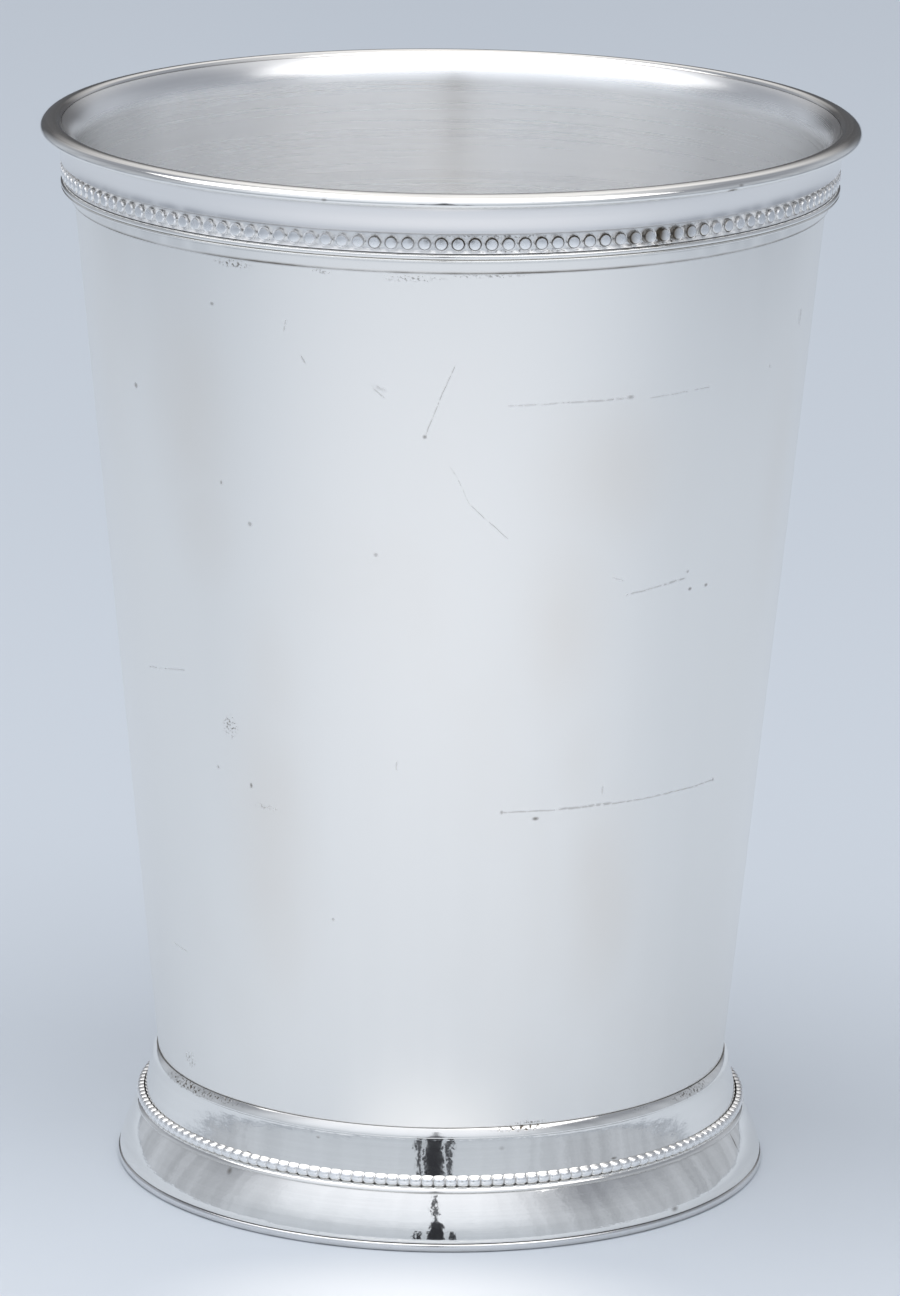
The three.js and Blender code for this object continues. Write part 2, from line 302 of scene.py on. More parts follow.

# %% [markdown]
# ## The paper
#
# The cup stands on a wide sheet of pale, cool paper that runs on out of the picture. The paper is lit by
# the same lamps as the cup, so the cup's shadow and its reflections stay on it. Further back the paper
# is painted a little darker: painted shade where the light falls off. Bright silver throws light back on
# the paper in front of it, and the paper there is brightest, which the front of the cup shows in turn.
# Two soft patches of painted light in the paper's colour stand in for that.
#
# The polished foot shows darker streaks towards its sides. They are reflections of darker bands
# in the paper out there. Only reflections see the bands: looked at directly, the paper is plain.

# %% Lay the paper
PAPER_HALF = 4.0
PAPER = (0.607, 0.650, 0.702)
# Painted shade: the paper's colour further back.
PAPER_PAINTED_SHADE = (0.582, 0.624, 0.674)
PAPER_BESIDE = (0.330, 0.360, 0.405)
# Painted light: the paper's colours in the two bright pools in front of the cup and of its foot.
PAPER_PAINTED_LIGHT = (0.81, 0.836, 0.872)
PAPER_PAINTED_LIGHT_MOST = (0.97, 0.98, 0.99)
MOTTLE_SCALE, MOTTLE = (9.0,) * 3, 0.02
# Where the painted shade further back begins, and where it is full.
SHADE_BEHIND_STARTS, SHADE_BEHIND_FULL = 0.05, 0.32
BESIDE_STARTS, BESIDE_FULL = 0.23, 0.42
BESIDE_SCALE, BESIDE_EDGES, BESIDE_LEAST = (12.0,) * 3, (0.30, 0.60), 0.35
# The middles and half sizes of the two pools of painted light.
FRONT_PAINTED_LIGHT = ((0.0, -0.185), (0.32, 0.21))
FOOT_PAINTED_LIGHT = ((-0.002, -0.046), (0.030, 0.017))


def add_object(name, data):
    """Puts a mesh or a lamp in the scene as an object."""
    made = bpy.data.objects.new(name, data)
    bpy.context.scene.collection.objects.link(made)
    return made


def add_flat(name, points, faces, material):
    """Makes an object of a few flat faces."""
    mesh = bpy.data.meshes.new(name)
    mesh.from_pydata(points, [], faces)
    mesh.materials.append(material)
    return add_object(name, mesh)


def painted_light_patch(tree, place, centre, size):
    """A pool of painted light: 1 in the middle of an ellipse on the paper and 0 from its edge out."""
    return soft_step(tree, from_centre(tree, place, centre, size), 1.0, 0.0)


def make_paper():
    """A square sheet at height 0."""
    material, tree = new_material("pale_paper")
    place = shader(tree, "ShaderNodeTexCoord").outputs["Object"]
    parts = shader(tree, "ShaderNodeSeparateXYZ", {"Vector": place}).outputs
    cloudy = stretched_noise(tree, place, MOTTLE_SCALE, detail=5.0)
    mottle = level_range(tree, cloudy, -MOTTLE, MOTTLE)
    # Further back the paper is painted darker: painted shade.
    behind = calculate(tree, "ADD", soft_step(tree, parts["Y"], SHADE_BEHIND_STARTS, SHADE_BEHIND_FULL), mottle)
    plain = mix_colours(tree, behind, PAPER, PAPER_PAINTED_SHADE)
    way = direction(tree, place)
    bands = noise_mask(tree, way, BESIDE_SCALE, BESIDE_EDGES, detail=4.0, low=BESIDE_LEAST)
    away = calculate(tree, "ABSOLUTE", parts["X"])
    seen = shader(tree, "ShaderNodeLightPath").outputs["Is Camera Ray"]
    unseen = calculate(tree, "SUBTRACT", 1.0, seen)
    beside = product(tree, soft_step(tree, away, BESIDE_STARTS, BESIDE_FULL), bands, unseen)
    plain = mix_colours(tree, beside, plain, PAPER_BESIDE)
    # Two pools of painted light, in front of the cup and in front of its foot.
    with_painted_light = mix_colours(tree, painted_light_patch(tree, place, *FRONT_PAINTED_LIGHT), plain, PAPER_PAINTED_LIGHT)
    colour = mix_colours(tree, painted_light_patch(tree, place, *FOOT_PAINTED_LIGHT), with_painted_light, PAPER_PAINTED_LIGHT_MOST)
    output(tree, shader(tree, "ShaderNodeBsdfDiffuse", {"Color": colour}).outputs["BSDF"])
    h = PAPER_HALF
    corners = [(-h, -h, 0), (h, -h, 0), (h, h, 0), (-h, h, 0)]
    paper = add_flat("paper", corners, [(0, 1, 2, 3)], material)


make_paper()
print("paper laid,", 2 * PAPER_HALF, "m wide")

# %% [markdown]
# ## The light
#
# Silver shows what stands round it more than its own colour, so its light is a room to be
# reflected. In front, a little to the left, the room is pale grey at the horizon and white
# above it. To both sides it is a middle grey with soft upright bands, which give the streaks of
# the polished foot. Low behind it is dark, which draws the dark ends of the lip and the thin
# line on top of it. One large soft lamp hangs above, a little to the front.
#
# A dark stand in front of a bright thing is an old studio way of drawing a dark line in its
# metal. This one has three uprights, a block and a post, and is seen only in reflections.

# %% Light the room
ROOM_FRONT = (
    (0, (0.52, 0.57, 0.64)),
    (12, (0.57, 0.62, 0.69)),
    (27, (0.84, 0.89, 0.97)),
    (40, (0.94, 0.98, 1.06)),
    (74, (1.06, 1.08, 1.12)),
    (90, (1.05, 1.05, 1.06)),
)
ROOM_BESIDE = (
    (0, (0.45, 0.485, 0.54)),
    (18, (0.43, 0.46, 0.51)),
    (32, (0.29, 0.31, 0.35)),
    (48, (0.30, 0.32, 0.36)),
    (70, (0.85, 0.86, 0.89)),
    (90, (1.05, 1.05, 1.06)),
)
ROOM_BEHIND = (
    (0, (0.10, 0.105, 0.115)),
    (15, (0.10, 0.10, 0.105)),
    (27, (0.60, 0.60, 0.61)),
    (44, (0.98, 0.98, 0.99)),
    (70, (0.96, 0.96, 0.97)),
    (90, (1.05, 1.05, 1.06)),
)
LIGHT_SIDE = math.radians(-16)
FRONT_EDGES, BACK_EDGES = (0.20, 0.88), (0.80, 0.97)
BAND_SCALE = (10.0,) * 3
BAND_FRONT, BAND_BESIDE = 0.26, 0.95
LAMP_SIZE = (2.2, 0.7)
LAMP_PLACE = (-0.05, -0.16, 1.0)
LAMP_AIM = (0.0, -0.03, 0.05)
LAMP_POWER = 6.6


def height_colours(tree, rise, levels):
    """Colours by the angle above the horizon in degrees. rise goes from 0 there to 1 overhead."""
    ramp = shader(tree, "ShaderNodeValToRGB", {"Fac": rise})
    stops = ramp.color_ramp.elements
    stops[0].color, stops[1].color = (*levels[0][1], 1.0), (*levels[-1][1], 1.0)
    for degrees, colour in levels[1:-1]:
        stops.new(degrees / 90).color = (*colour, 1.0)
    return ramp.outputs["Color"]


def make_surround():
    """Colours by height, mixed by the cosine of the angle round from the light way and the back."""
    world = bpy.data.worlds.new("surround")
    bpy.context.scene.world = world
    world.use_nodes = True
    tree = world.node_tree
    tree.nodes.clear()
    towards = shader(tree, "ShaderNodeTexCoord").outputs["Generated"]
    parts = shader(tree, "ShaderNodeSeparateXYZ", {"Vector": towards}).outputs
    rise = calculate(tree, "DIVIDE", calculate(tree, "ARCSINE", parts["Z"]), math.pi / 2)
    flat = shader(tree, "ShaderNodeCombineXYZ", {"X": parts["X"], "Y": parts["Y"]})
    round_about = direction(tree, flat.outputs["Vector"])
    light_way = (math.sin(LIGHT_SIDE), -math.cos(LIGHT_SIDE), 0.0)
    front = soft_step(tree, dot_product(tree, round_about, light_way), *FRONT_EDGES)
    back = soft_step(tree, dot_product(tree, round_about, (0.0, 1.0, 0.0)), *BACK_EDGES)
    beside, ahead, behind = (
        height_colours(tree, rise, levels) for levels in (ROOM_BESIDE, ROOM_FRONT, ROOM_BEHIND)
    )
    room = mix_colours(tree, back, mix_colours(tree, front, beside, ahead), behind)
    bands = stretched_noise(tree, round_about, BAND_SCALE, detail=4.0, roughness=0.6)
    swing = level_range(tree, front, BAND_BESIDE, BAND_FRONT)
    centred = calculate(tree, "SUBTRACT", bands, 0.5)
    strength = calculate(tree, "MULTIPLY_ADD", centred, swing, 1.0)
    light = shader(tree, "ShaderNodeBackground", {"Color": room, "Strength": strength})
    shader(tree, "ShaderNodeOutputWorld", {"Surface": light.outputs["Background"]})


def make_lamp(name, place, aim, size, power):
    """A rectangular soft lamp that faces a point."""
    data = bpy.data.lights.new(name, "AREA")
    data.shape = "RECTANGLE"
    data.size, data.size_y = size
    data.energy = power
    lamp = add_object(name, data)
    lamp.location = place
    lamp.rotation_mode = "QUATERNION"
    lamp.rotation_quaternion = (Vector(aim) - Vector(place)).to_track_quat("-Z", "Y")


make_surround()
make_lamp("soft_lamp", LAMP_PLACE, LAMP_AIM, LAMP_SIZE, LAMP_POWER)
print("lamp power in W:", LAMP_POWER)

# %% Set up the dark stand
STAND_DISTANCE = 0.74
STAND_GREY = (0.045, 0.045, 0.05)
STAND_OUTLINES = (
    ((-0.118, 0.0), (-0.088, 0.0), (-0.090, 0.19), (-0.112, 0.19)),
    ((-0.074, 0.0), (0.030, 0.0), (0.022, 0.19), (-0.070, 0.19)),
    ((0.048, 0.0), (0.082, 0.0), (0.066, 0.19), (0.044, 0.19)),
    ((-0.048, 0.19), (0.018, 0.19), (0.018, 0.31), (-0.048, 0.31)),
    ((-0.034, 0.31), (-0.006, 0.31), (-0.010, 0.66), (-0.030, 0.66)),
)


def make_stand():
    """Three uprights, a block and a post as flat outlines that only reflections see."""
    material, tree = new_material("dark_stand")
    matt = shader(tree, "ShaderNodeBsdfDiffuse", {"Color": (*STAND_GREY, 1.0)})
    output(tree, matt.outputs["BSDF"])
    points = np.insert(np.array(STAND_OUTLINES).reshape(-1, 2), 1, -STAND_DISTANCE, axis=1)
    faces = np.arange(len(points)).reshape(-1, 4)
    stand = add_flat("dark_stand", points.tolist(), faces.tolist(), material)
    stand.visible_camera = False
    stand.visible_diffuse = False
    stand.visible_shadow = False


make_stand()
print("stand in place,", STAND_DISTANCE, "m in front")

# %% [markdown]
# ## Small tools for turned surfaces
#
# Each piece is a closed section of points (radius, height), listed with its outer side running
# up. Turned round the upright axis, the section becomes a closed ring. The point arrays are
# worked out for the whole ring at once: one axis of the grid runs round the cup and the other
# runs along the section. The angle is measured from the front of the cup, so that the seam of
# the pattern lies at the back.
#
# Dirt and tarnish gather in corners, and shade falls there, so each piece also carries a value that says
# how much of them each point holds: much in a corner, and less the further from it. The value is partly
# real tarnish and partly painted shade.

# %% Section helpers
SEGMENTS = 360
EDGE_STEPS = 4
LONGEST_STEP = 0.16 * MM
SAME_POINT = 1e-7
SHARP_ANGLE = math.radians(40)


def arc(centre, wide, tall, start, end, count=12):
    """Points centre + (wide cos a, tall sin a), with a running evenly from start to end."""
    a = np.linspace(start, end, count)
    return np.stack([centre[0] + wide * np.cos(a), centre[1] + tall * np.sin(a)], axis=1)


def spreading(top, bottom, power, count=16):
    """A sheet that spreads as it hangs: the radius grows as a power of the drop."""
    t = np.linspace(0.0, 1.0, count)
    radius = top[0] + (bottom[0] - top[0]) * t**power
    return np.stack([radius, top[1] + (bottom[1] - top[1]) * t], axis=1)


def bulging(top, bottom, power, count=24):
    """A sheet that leans out at its top and turns straight down at its end: what is left of the
    spread falls as a power of what is left of the drop."""
    t = np.linspace(0.0, 1.0, count)
    radius = bottom[0] - (bottom[0] - top[0]) * (1.0 - t) ** power
    return np.stack([radius, top[1] + (bottom[1] - top[1]) * t], axis=1)


def eased(section, radius, steps=EDGE_STEPS):
    """Rounds every corner C of a closed section with the curve (1-t)^2 P + 2t(1-t) C + t^2 Q.
    P and Q lie on the two sides of the corner, at the radius or at half the side from it."""
    corner = np.asarray(section, dtype=float)
    ends = []
    for other in (np.roll(corner, 1, axis=0), np.roll(corner, -1, axis=0)):
        side = other - corner
        length = np.linalg.norm(side, axis=1, keepdims=True)
        ends.append(corner + side / length * np.minimum(radius, length * 0.5))
    t = np.linspace(0.0, 1.0, steps + 1)[None, :, None]
    first, middle, last = (point[:, None] for point in (ends[0], corner, ends[1]))
    curve = (1 - t) ** 2 * first + 2 * t * (1 - t) * middle + t**2 * last
    points = curve.reshape(-1, 2)
    keep = np.linalg.norm(points - np.roll(points, 1, axis=0), axis=1) > SAME_POINT
    return points[keep]


def filled(section):
    """Splits every side of a closed section into equal steps no longer than LONGEST_STEP."""
    section = np.asarray(section, dtype=float)
    side = np.roll(section, -1, axis=0) - section
    count = np.ceil(np.linalg.norm(side, axis=1) / LONGEST_STEP).astype(int)
    first = np.repeat(np.cumsum(count) - count, count)
    share = (np.arange(count.sum()) - first) / np.repeat(count, count)
    return np.repeat(section, count, axis=0) + share[:, None] * np.repeat(side, count, axis=0)


def bell(value, middle, width):
    """1 at the middle and falling off to both sides, as exp(-((value - middle) / width)^2)."""
    return np.exp(-(((value - middle) / width) ** 2))


def gathered(section, corners):
    """Tarnish and painted shade at each point of a section: for each corner (radius, height, width,
    depth) it is depth times a bell of the distance, and the highest counts."""
    found = np.zeros(len(section))
    for radius, height, width, depth in corners:
        away = np.hypot(section[:, 0] - radius, section[:, 1] - height)
        found = np.maximum(found, depth * bell(away, 0.0, width))
    return found


print("a quarter round of radius 1:", arc((0, 0), 1, 1, 0, math.pi / 2, 3).round(3).tolist())

# %% Turning helper


def once_round(steps, count):
    """Angles from -pi to pi, as the steps go from 0 to the count. The front is at 0."""
    return (steps / count * 2.0 - 1.0) * math.pi


def round_points(a, r, z):
    """Points (r sin a, -r cos a, z)."""
    return np.stack([r * np.sin(a), -r * np.cos(a), z], axis=-1).reshape(-1, 3)


def grid_faces(around, across):
    """Quads of a grid that closes both ways, with so many steps around and so many points across."""
    i, j = np.meshgrid(np.arange(around), np.arange(across), indexing="ij")
    ii, jj = (i + 1) % around, (j + 1) % across
    quads = np.stack([i * across + j, ii * across + j, ii * across + jj, i * across + jj], axis=-1)
    return quads.reshape(-1, 4)


def fill_mesh(name, points, faces, unrolled, rolled, tarnish_and_shade, kinds=None):
    """Puts whole arrays in a mesh: points, a list of face arrays, the unrolled map of each corner, and
    for each point its rolled-out place and its tarnish and painted shade. kinds is each face's finish."""
    loops = np.concatenate([f.ravel() for f in faces]).astype(np.int32)
    sizes = np.concatenate([np.full(len(f), f.shape[1]) for f in faces])
    starts = (np.cumsum(sizes) - sizes).astype(np.int32)
    mesh = bpy.data.meshes.new(name)
    mesh.vertices.add(len(points))
    mesh.vertices.foreach_set("co", points.astype(np.float32).ravel())
    mesh.loops.add(len(loops))
    mesh.loops.foreach_set("vertex_index", loops)
    mesh.polygons.add(len(sizes))
    mesh.polygons.foreach_set("loop_start", starts)
    mesh.update(calc_edges=True)
    layer = mesh.uv_layers.new(name="unrolled")
    layer.uv.foreach_set("vector", unrolled.astype(np.float32).ravel())
    place = mesh.attributes.new("rolled", "FLOAT_VECTOR", "POINT")
    place.data.foreach_set("vector", rolled.astype(np.float32).ravel())
    dirt = mesh.attributes.new("tarnish_and_shade", "FLOAT", "POINT")
    dirt.data.foreach_set("value", tarnish_and_shade.astype(np.float32))
    if kinds is not None:
        mesh.polygons.foreach_set("material_index", kinds.astype(np.int32))
    mesh.shade_smooth()
    mesh.set_sharp_from_angle(angle=SHARP_ANGLE)
    mesh.validate()
    return mesh


def turn(section, corners, ripple=None):
    """Turns a closed section: point (i, j) is (r_j sin a_i, -r_j cos a_i, z_j), a_i from -pi to pi.
    ripple(a, r, z) may add a small amount to the radius. Returns the arrays that fill_mesh takes."""
    r = np.broadcast_to(section[:, 0], (SEGMENTS, len(section)))
    z = np.broadcast_to(section[:, 1], r.shape)
    angle = np.broadcast_to(once_round(np.arange(SEGMENTS), SEGMENTS)[:, None], r.shape)
    if ripple is not None:
        r = r + ripple(angle, r, z)
    points = round_points(angle, r, z)
    run = np.concatenate([[0.0], np.cumsum(np.linalg.norm(np.diff(section, axis=0), axis=1))])
    widest = section[:, 0].max()
    rolled = round_points(angle, widest, np.broadcast_to(run, r.shape))
    quads = grid_faces(SEGMENTS, len(section))
    i = np.repeat(np.arange(SEGMENTS), len(section))
    step = widest * 2.0 * math.pi / SEGMENTS
    left, right = (i - SEGMENTS / 2) * step / MM, (i + 1 - SEGMENTS / 2) * step / MM
    heights = points[quads][:, :, 2] / MM
    unrolled = np.stack([np.stack([left, right, right, left], axis=1), heights], axis=-1)
    tarnish_and_shade = np.tile(gathered(section, corners), SEGMENTS)
    return points, [quads], unrolled.reshape(-1, 2), rolled, tarnish_and_shade


def waves(table, a, z):
    """Sum of size * sin(turns * a + climb * z + start) over the waves of a table."""
    return sum(size * np.sin(turns * a + climb * z + start) for size, turns, climb, start in table)


def inward_waves(table, a, z):
    """Half the waves less their sum of sizes, so that they only ever pull a surface in."""
    return (waves(table, a, z) - sum(wave[0] for wave in table)) * 0.5


def add_piece(mesh, kinds, node):
    """Makes the object, lets it ride on the cup and stand for its CAD piece. kinds names its
    finishes."""
    for kind in kinds:
        mesh.materials.append(finishes[kind])
    made = add_object(mesh.name, mesh)
    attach(made, "root")
    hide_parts(node)
    print(f"{made.name}: {len(mesh.vertices)} points, {len(mesh.polygons)} faces")


def add_ring(name, section, corners, kind, node, ripple=None):
    """Fills in the long sides of a section, turns it and adds it as a polished piece."""
    mesh = fill_mesh(name, *turn(filled(section), corners, ripple))
    add_piece(mesh, [kind], node)


# %% [markdown]
# ## The sizes that the pieces share
#
# The outside of the wall is one straight taper. Two CAD pieces give it: the edge band lies on
# the wall below the lip, and the foot's top wire is as wide as the top of the collar that holds
# the wall. Everything else hangs on that line.

# %% Work out the taper
SHEET = 0.8 * MM
FOOT_SHEET = 0.6 * MM
JOINT = 0.05 * MM
EDGE_BAND_STAND = 0.33 * MM

lip_reach, lip_bottom, _ = ring("lip_wire")
_, cove_bottom, cove_top = ring("rim_cove_band")
bead_reach, bead_bottom, bead_top = ring("rim_bead_wire")
_, reed_bottom, reed_top = ring("rim_moulding_wire")
band_reach, band_bottom, band_top = ring("rim_edge_band")
shoulder_reach, shoulder_bottom, shoulder_top = ring("foot_top_wire")
collar_reach, lap_bottom, collar_top = ring("foot_collar")
foot_bead_reach, _, foot_bead_top = ring("foot_bead_wire")
foot_reed_reach, foot_reed_bottom, foot_reed_top = ring("foot_reed_wire")
skirt_reach, skirt_bottom, skirt_top = ring("foot_skirt")
base_reach, base_bottom, base_top = ring("foot_base_wire")
wall_reach, wall_bottom, _ = ring("tumbler_wall")
floor_reach, floor_bottom, floor_top = ring("floor_disc")

high_radius = band_reach - EDGE_BAND_STAND
low_radius = shoulder_reach - FOOT_SHEET - JOINT
taper = (high_radius - low_radius) / (band_top - collar_top)
taper_angle = math.atan(taper)


def outer_radius(z):
    """Radius of the wall's outer face at a height: the low radius plus the taper times the rise."""
    return low_radius + (z - collar_top) * taper


def inner_radius(z):
    """Radius of the wall's inner face: the sheet's thickness further in, square to the face."""
    return outer_radius(z) - SHEET / math.cos(taper_angle)


print(f"the wall leans out by {math.degrees(taper_angle):.2f} degrees")

# %% [markdown]
# ## The finishes of the silver
#
# All the pieces are silver plate, and they differ in how they were finished. The body is satin,
# from fine rubbing up and down. The lip, the mouldings and the foot were polished on a lathe, so
# the faint lines in them run round the cup and stretch a reflection up and down. The ground
# between the beads is frosted. Old silver also has a thin cream film, and brown tarnish in every
# corner that a cloth doesn't reach.
#
# One function makes a silver shader. Streaks vary its colour and roughness, clouds of noise carry the
# cream film, and brown goes where the piece's own value and its list of marks say. The piece's own value
# is partly tarnish and partly painted shade in corners and creases, and on the border's beads it also
# holds painted dark reflections. The base wire and the cove get darker copies of the silver, which is
# painted shade. The bump has a fine grain and, on the thin sheet of the foot, small knocks. The marks
# are cut into it. A table then gives each finish its numbers.

# %% A silver shader
SILVER = (0.945, 0.93, 0.90)
CREAM = (0.86, 0.81, 0.75)
BROWN = (0.16, 0.135, 0.105)
COOL_SILVER = (0.985, 0.98, 0.972)
# The base wire's silver is darker: painted shade, for the dark it reflects round the foot.
PAINTED_SHADE_BASE_SILVER = (0.80, 0.80, 0.805)
# The cove's silver is darker: painted shade that dims its reflection of the bright paper.
PAINTED_SHADE_COVE_SILVER = (0.885, 0.868, 0.855)
FROST_SILVER = (0.985, 0.975, 0.96)
BUMP_DEPTH = 0.02 * MM
WANDER_SCALE, WOBBLE = (0.5, 0.5, 1.0), 0.12
BREAK_SCALE, BREAK_EDGES = (1.6, 1.6, 1.0), (0.32, 0.55)
SPECK_SCALE, SPECK_EDGES = (3.2, 3.8, 1.0), (0.50, 0.64)
STREAK_EDGES = (0.25, 0.75)
CLOUD_SCALE, CLOUD_EDGES = (45.0, 45.0, 30.0), (0.48, 0.78)
BLOTCH_SCALE, BLOTCH_RANGE = (160.0, 160.0, 90.0), (0.3, 1.1)
PATCH_SCALE, PATCH_RANGE = (700.0,) * 3, (0.45, 1.25)
MISSED_SCALE, MISSED_EDGES, MISSED_LEAST = (110.0,) * 3, (0.34, 0.62), 0.45
GRAIN_SCALE = (2500.0,) * 3
DENT_SCALE = (420.0, 420.0, 620.0)
QUARTER_TURN = 0.25
TARNISH_ROUGHNESS = 0.25
MARK_CUT = 0.6
NO_MARKS = {"reach": 1.0, "scratches": (), "dots": (), "dirt": (), "blotches": ()}


def mark_masks(tree, unrolled, marks):
    """Three masks from a list of marks: sharp ones, cream blotches and speckled dirt."""
    reach = marks["reach"]
    wander = stretched_noise(tree, unrolled, WANDER_SCALE, detail=2.0)
    wobble = level_range(tree, wander, -WOBBLE, WOBBLE)
    broken = noise_mask(tree, unrolled, BREAK_SCALE, BREAK_EDGES)
    lines = [scratch(tree, unrolled, reach, wobble, line) for line in marks["scratches"]]
    sharp = [ellipse(tree, unrolled, reach, place) for place in marks["dots"]]
    if lines:
        sharp.append(product(tree, strongest(tree, lines), broken))
    specks = noise_mask(tree, unrolled, SPECK_SCALE, SPECK_EDGES, detail=2.0)
    dirt = [ellipse(tree, unrolled, reach, place) for place in marks["dirt"]]
    cream = [ellipse(tree, unrolled, reach, place) for place in marks["blotches"]]
    return (
        strongest(tree, sharp) if sharp else None,
        strongest(tree, cream) if cream else None,
        product(tree, strongest(tree, dirt), specks) if dirt else None,
    )


def silver(name, tint, rough, streaks, shade, anisotropy, grain, film, marks=NO_MARKS, dents=0.0):
    """rough and shade are the lowest and highest roughness and brightness, and streaks the noise
    scale on the rolled place. film is the strength of the cream film. grain and dents are the
    heights of the fine grain and of the small knocks, in units of the bump's depth."""
    material, tree = new_material(name)
    place = shader(tree, "ShaderNodeTexCoord").outputs["Object"]
    rolled = shader(tree, "ShaderNodeAttribute", attribute_name="rolled").outputs["Vector"]
    unrolled = shader(tree, "ShaderNodeUVMap", uv_map="unrolled").outputs["UV"]
    lines = stretched_noise(tree, rolled, streaks, detail=5.0, roughness=0.68)
    clouds = noise_mask(tree, place, CLOUD_SCALE, CLOUD_EDGES, detail=5.0)
    sharp, blotches, specks = mark_masks(tree, unrolled, marks)
    cream = product(tree, clouds, film)
    if blotches is not None:
        uneven = stretched_noise(tree, place, BLOTCH_SCALE, detail=5.0)
        film_left = product(tree, blotches, level_range(tree, uneven, *BLOTCH_RANGE))
        cream = strongest(tree, [cream, film_left])
    spread = soft_step(tree, lines, *STREAK_EDGES)
    plain = mix_colours(tree, spread, [c * shade[0] for c in tint], [c * shade[1] for c in tint])
    creamy = mix_colours(tree, cream, plain, CREAM)
    # The piece's own value: tarnish in its corners, painted shade in corners and creases, and painted
    # dark reflections on the border's beads.
    held = shader(tree, "ShaderNodeAttribute", attribute_name="tarnish_and_shade").outputs["Fac"]
    uneven = stretched_noise(tree, place, PATCH_SCALE, detail=4.0)
    patchy = level_range(tree, uneven, *PATCH_RANGE)
    missed = noise_mask(tree, place, MISSED_SCALE, MISSED_EDGES, detail=2.0, low=MISSED_LEAST)
    dirt = [product(tree, held, patchy, missed), sharp, specks]
    found = strongest(tree, [mask for mask in dirt if mask is not None])
    tarnish_and_shade = calculate(tree, "MINIMUM", found, 1.0)
    colour = mix_colours(tree, tarnish_and_shade, creamy, BROWN)
    fogged = product(tree, tarnish_and_shade, TARNISH_ROUGHNESS)
    shine = calculate(tree, "ADD", level_range(tree, spread, *rough), fogged)
    fine = product(tree, stretched_noise(tree, place, GRAIN_SCALE, detail=1.0), grain)
    knocks = product(tree, stretched_noise(tree, place, DENT_SCALE), dents)
    uncut = calculate(tree, "ADD", fine, knocks)
    height = calculate(tree, "MULTIPLY_ADD", tarnish_and_shade, -MARK_CUT, uncut)
    around = shader(tree, "ShaderNodeTangent", direction_type="RADIAL", axis="Z").outputs["Tangent"]
    brushing = {"Anisotropic": anisotropy, "Anisotropic Rotation": QUARTER_TURN, "Tangent": around}
    metal(tree, colour, shine, height, BUMP_DEPTH, more=brushing)
    return material


print("silver shader ready")

# %% [markdown]
# ## The wear on this cup
#
# The photograph shows where this cup was knocked and handled: a few fine scratches across the
# body, a scuff low on the left, specks of dirt under the border, and cream clouds of old film
# where a cloth has missed. The sharpest scratches run across the upright satin, so they catch
# the light. Dirt lies in smears on the foot's top wire and on the bead strip. Each list gives
# places on one piece.

# %% List the marks of the body
BODY_SCRATCHES = (
    (1.0, 87.4, -3.5, 80.4, 0.12, 0.35),
    (0.4, 77.6, 1.4, 76.7, 0.12, 0.21),
    (1.4, 76.7, 3.6, 73.8, 0.1, 0.21),
    (3.6, 73.8, 9.9, 70.4, 0.12, 0.28),
    (9.0, 83.4, 17.3, 83.5, 0.16, 0.21),
    (17.3, 83.5, 29.1, 83.4, 0.16, 0.29),
    (32.6, 83.2, 44.8, 83.3, 0.12, 0.21),
    (30.8, 64.0, 38.1, 64.4, 0.15, 0.28),
    (38.1, 64.4, 43.1, 64.7, 0.18, 0.39),
    (10.2, 43.3, 56.3, 43.1, 0.13, 0.39),
    (20.5, 43.3, 31.0, 43.3, 0.17, 0.39),
    (28.8, 45.3, 28.7, 44.2, 0.22, 0.24),
    (-62.4, 25.1, -56.5, 24.9, 0.12, 0.21),
    (-62.7, 53.0, -50.3, 54.2, 0.14, 0.24),
    (-24.9, 90.9, -25.5, 89.7, 0.18, 0.32),
    (-23.0, 87.6, -22.0, 86.7, 0.16, 0.35),
    (-12.0, 85.4, -9.3, 84.7, 0.28, 0.22),
    (-11.5, 85.0, -9.5, 83.9, 0.15, 0.28),
    (-8.0, 48.6, -8.2, 47.3, 0.2, 0.24),
    (28.0, 65.9, 30.2, 65.4, 0.12, 0.17),
)
BODY_DOTS = (
    (-3.5, 80.4, 0.35, 0.3, 0.60),
    (-35.9, 44.2, 0.3, 0.4, 0.75),
    (-43.4, 45.3, 0.3, 0.25, 0.45),
    (16.3, 42.5, 0.6, 0.28, 0.80),
    (10.2, 43.3, 0.3, 0.3, 0.50),
    (56.3, 43.1, 0.3, 0.3, 0.50),
    (-20.2, 31.9, 0.3, 0.25, 0.40),
    (44.3, 63.5, 0.4, 0.25, 0.70),
    (48.2, 63.5, 0.4, 0.25, 0.65),
    (43.4, 65.3, 0.3, 0.25, 0.40),
    (29.1, 83.5, 0.6, 0.3, 0.45),
    (-58.2, 81.4, 0.5, 0.4, 0.60),
    (-38.2, 91.4, 0.35, 0.25, 0.55),
    (-38.5, 74.0, 0.25, 0.3, 0.50),
    (-33.2, 70.4, 0.4, 0.35, 0.45),
    (-11.3, 68.7, 0.35, 0.3, 0.40),
)
BODY_DIRT = (
    (-33.9, 95.6, 2.8, 0.55, 0.90),
    (-19.0, 95.8, 1.4, 0.35, 0.60),
    (-5.5, 95.6, 4.6, 0.45, 0.60),
    (5.5, 95.9, 5.0, 0.25, 0.70),
    (-39.9, 49.7, 1.5, 1.6, 0.85),
    (-33.1, 42.3, 2.6, 0.5, 0.35),
    (71.1, 87.3, 0.8, 1.3, 0.70),
    (60.5, 83.6, 0.6, 0.6, 0.30),
    (-59.7, 13.6, 2.0, 1.2, 0.70),
    (17.5, 11.5, 3.2, 0.35, 0.80),
)
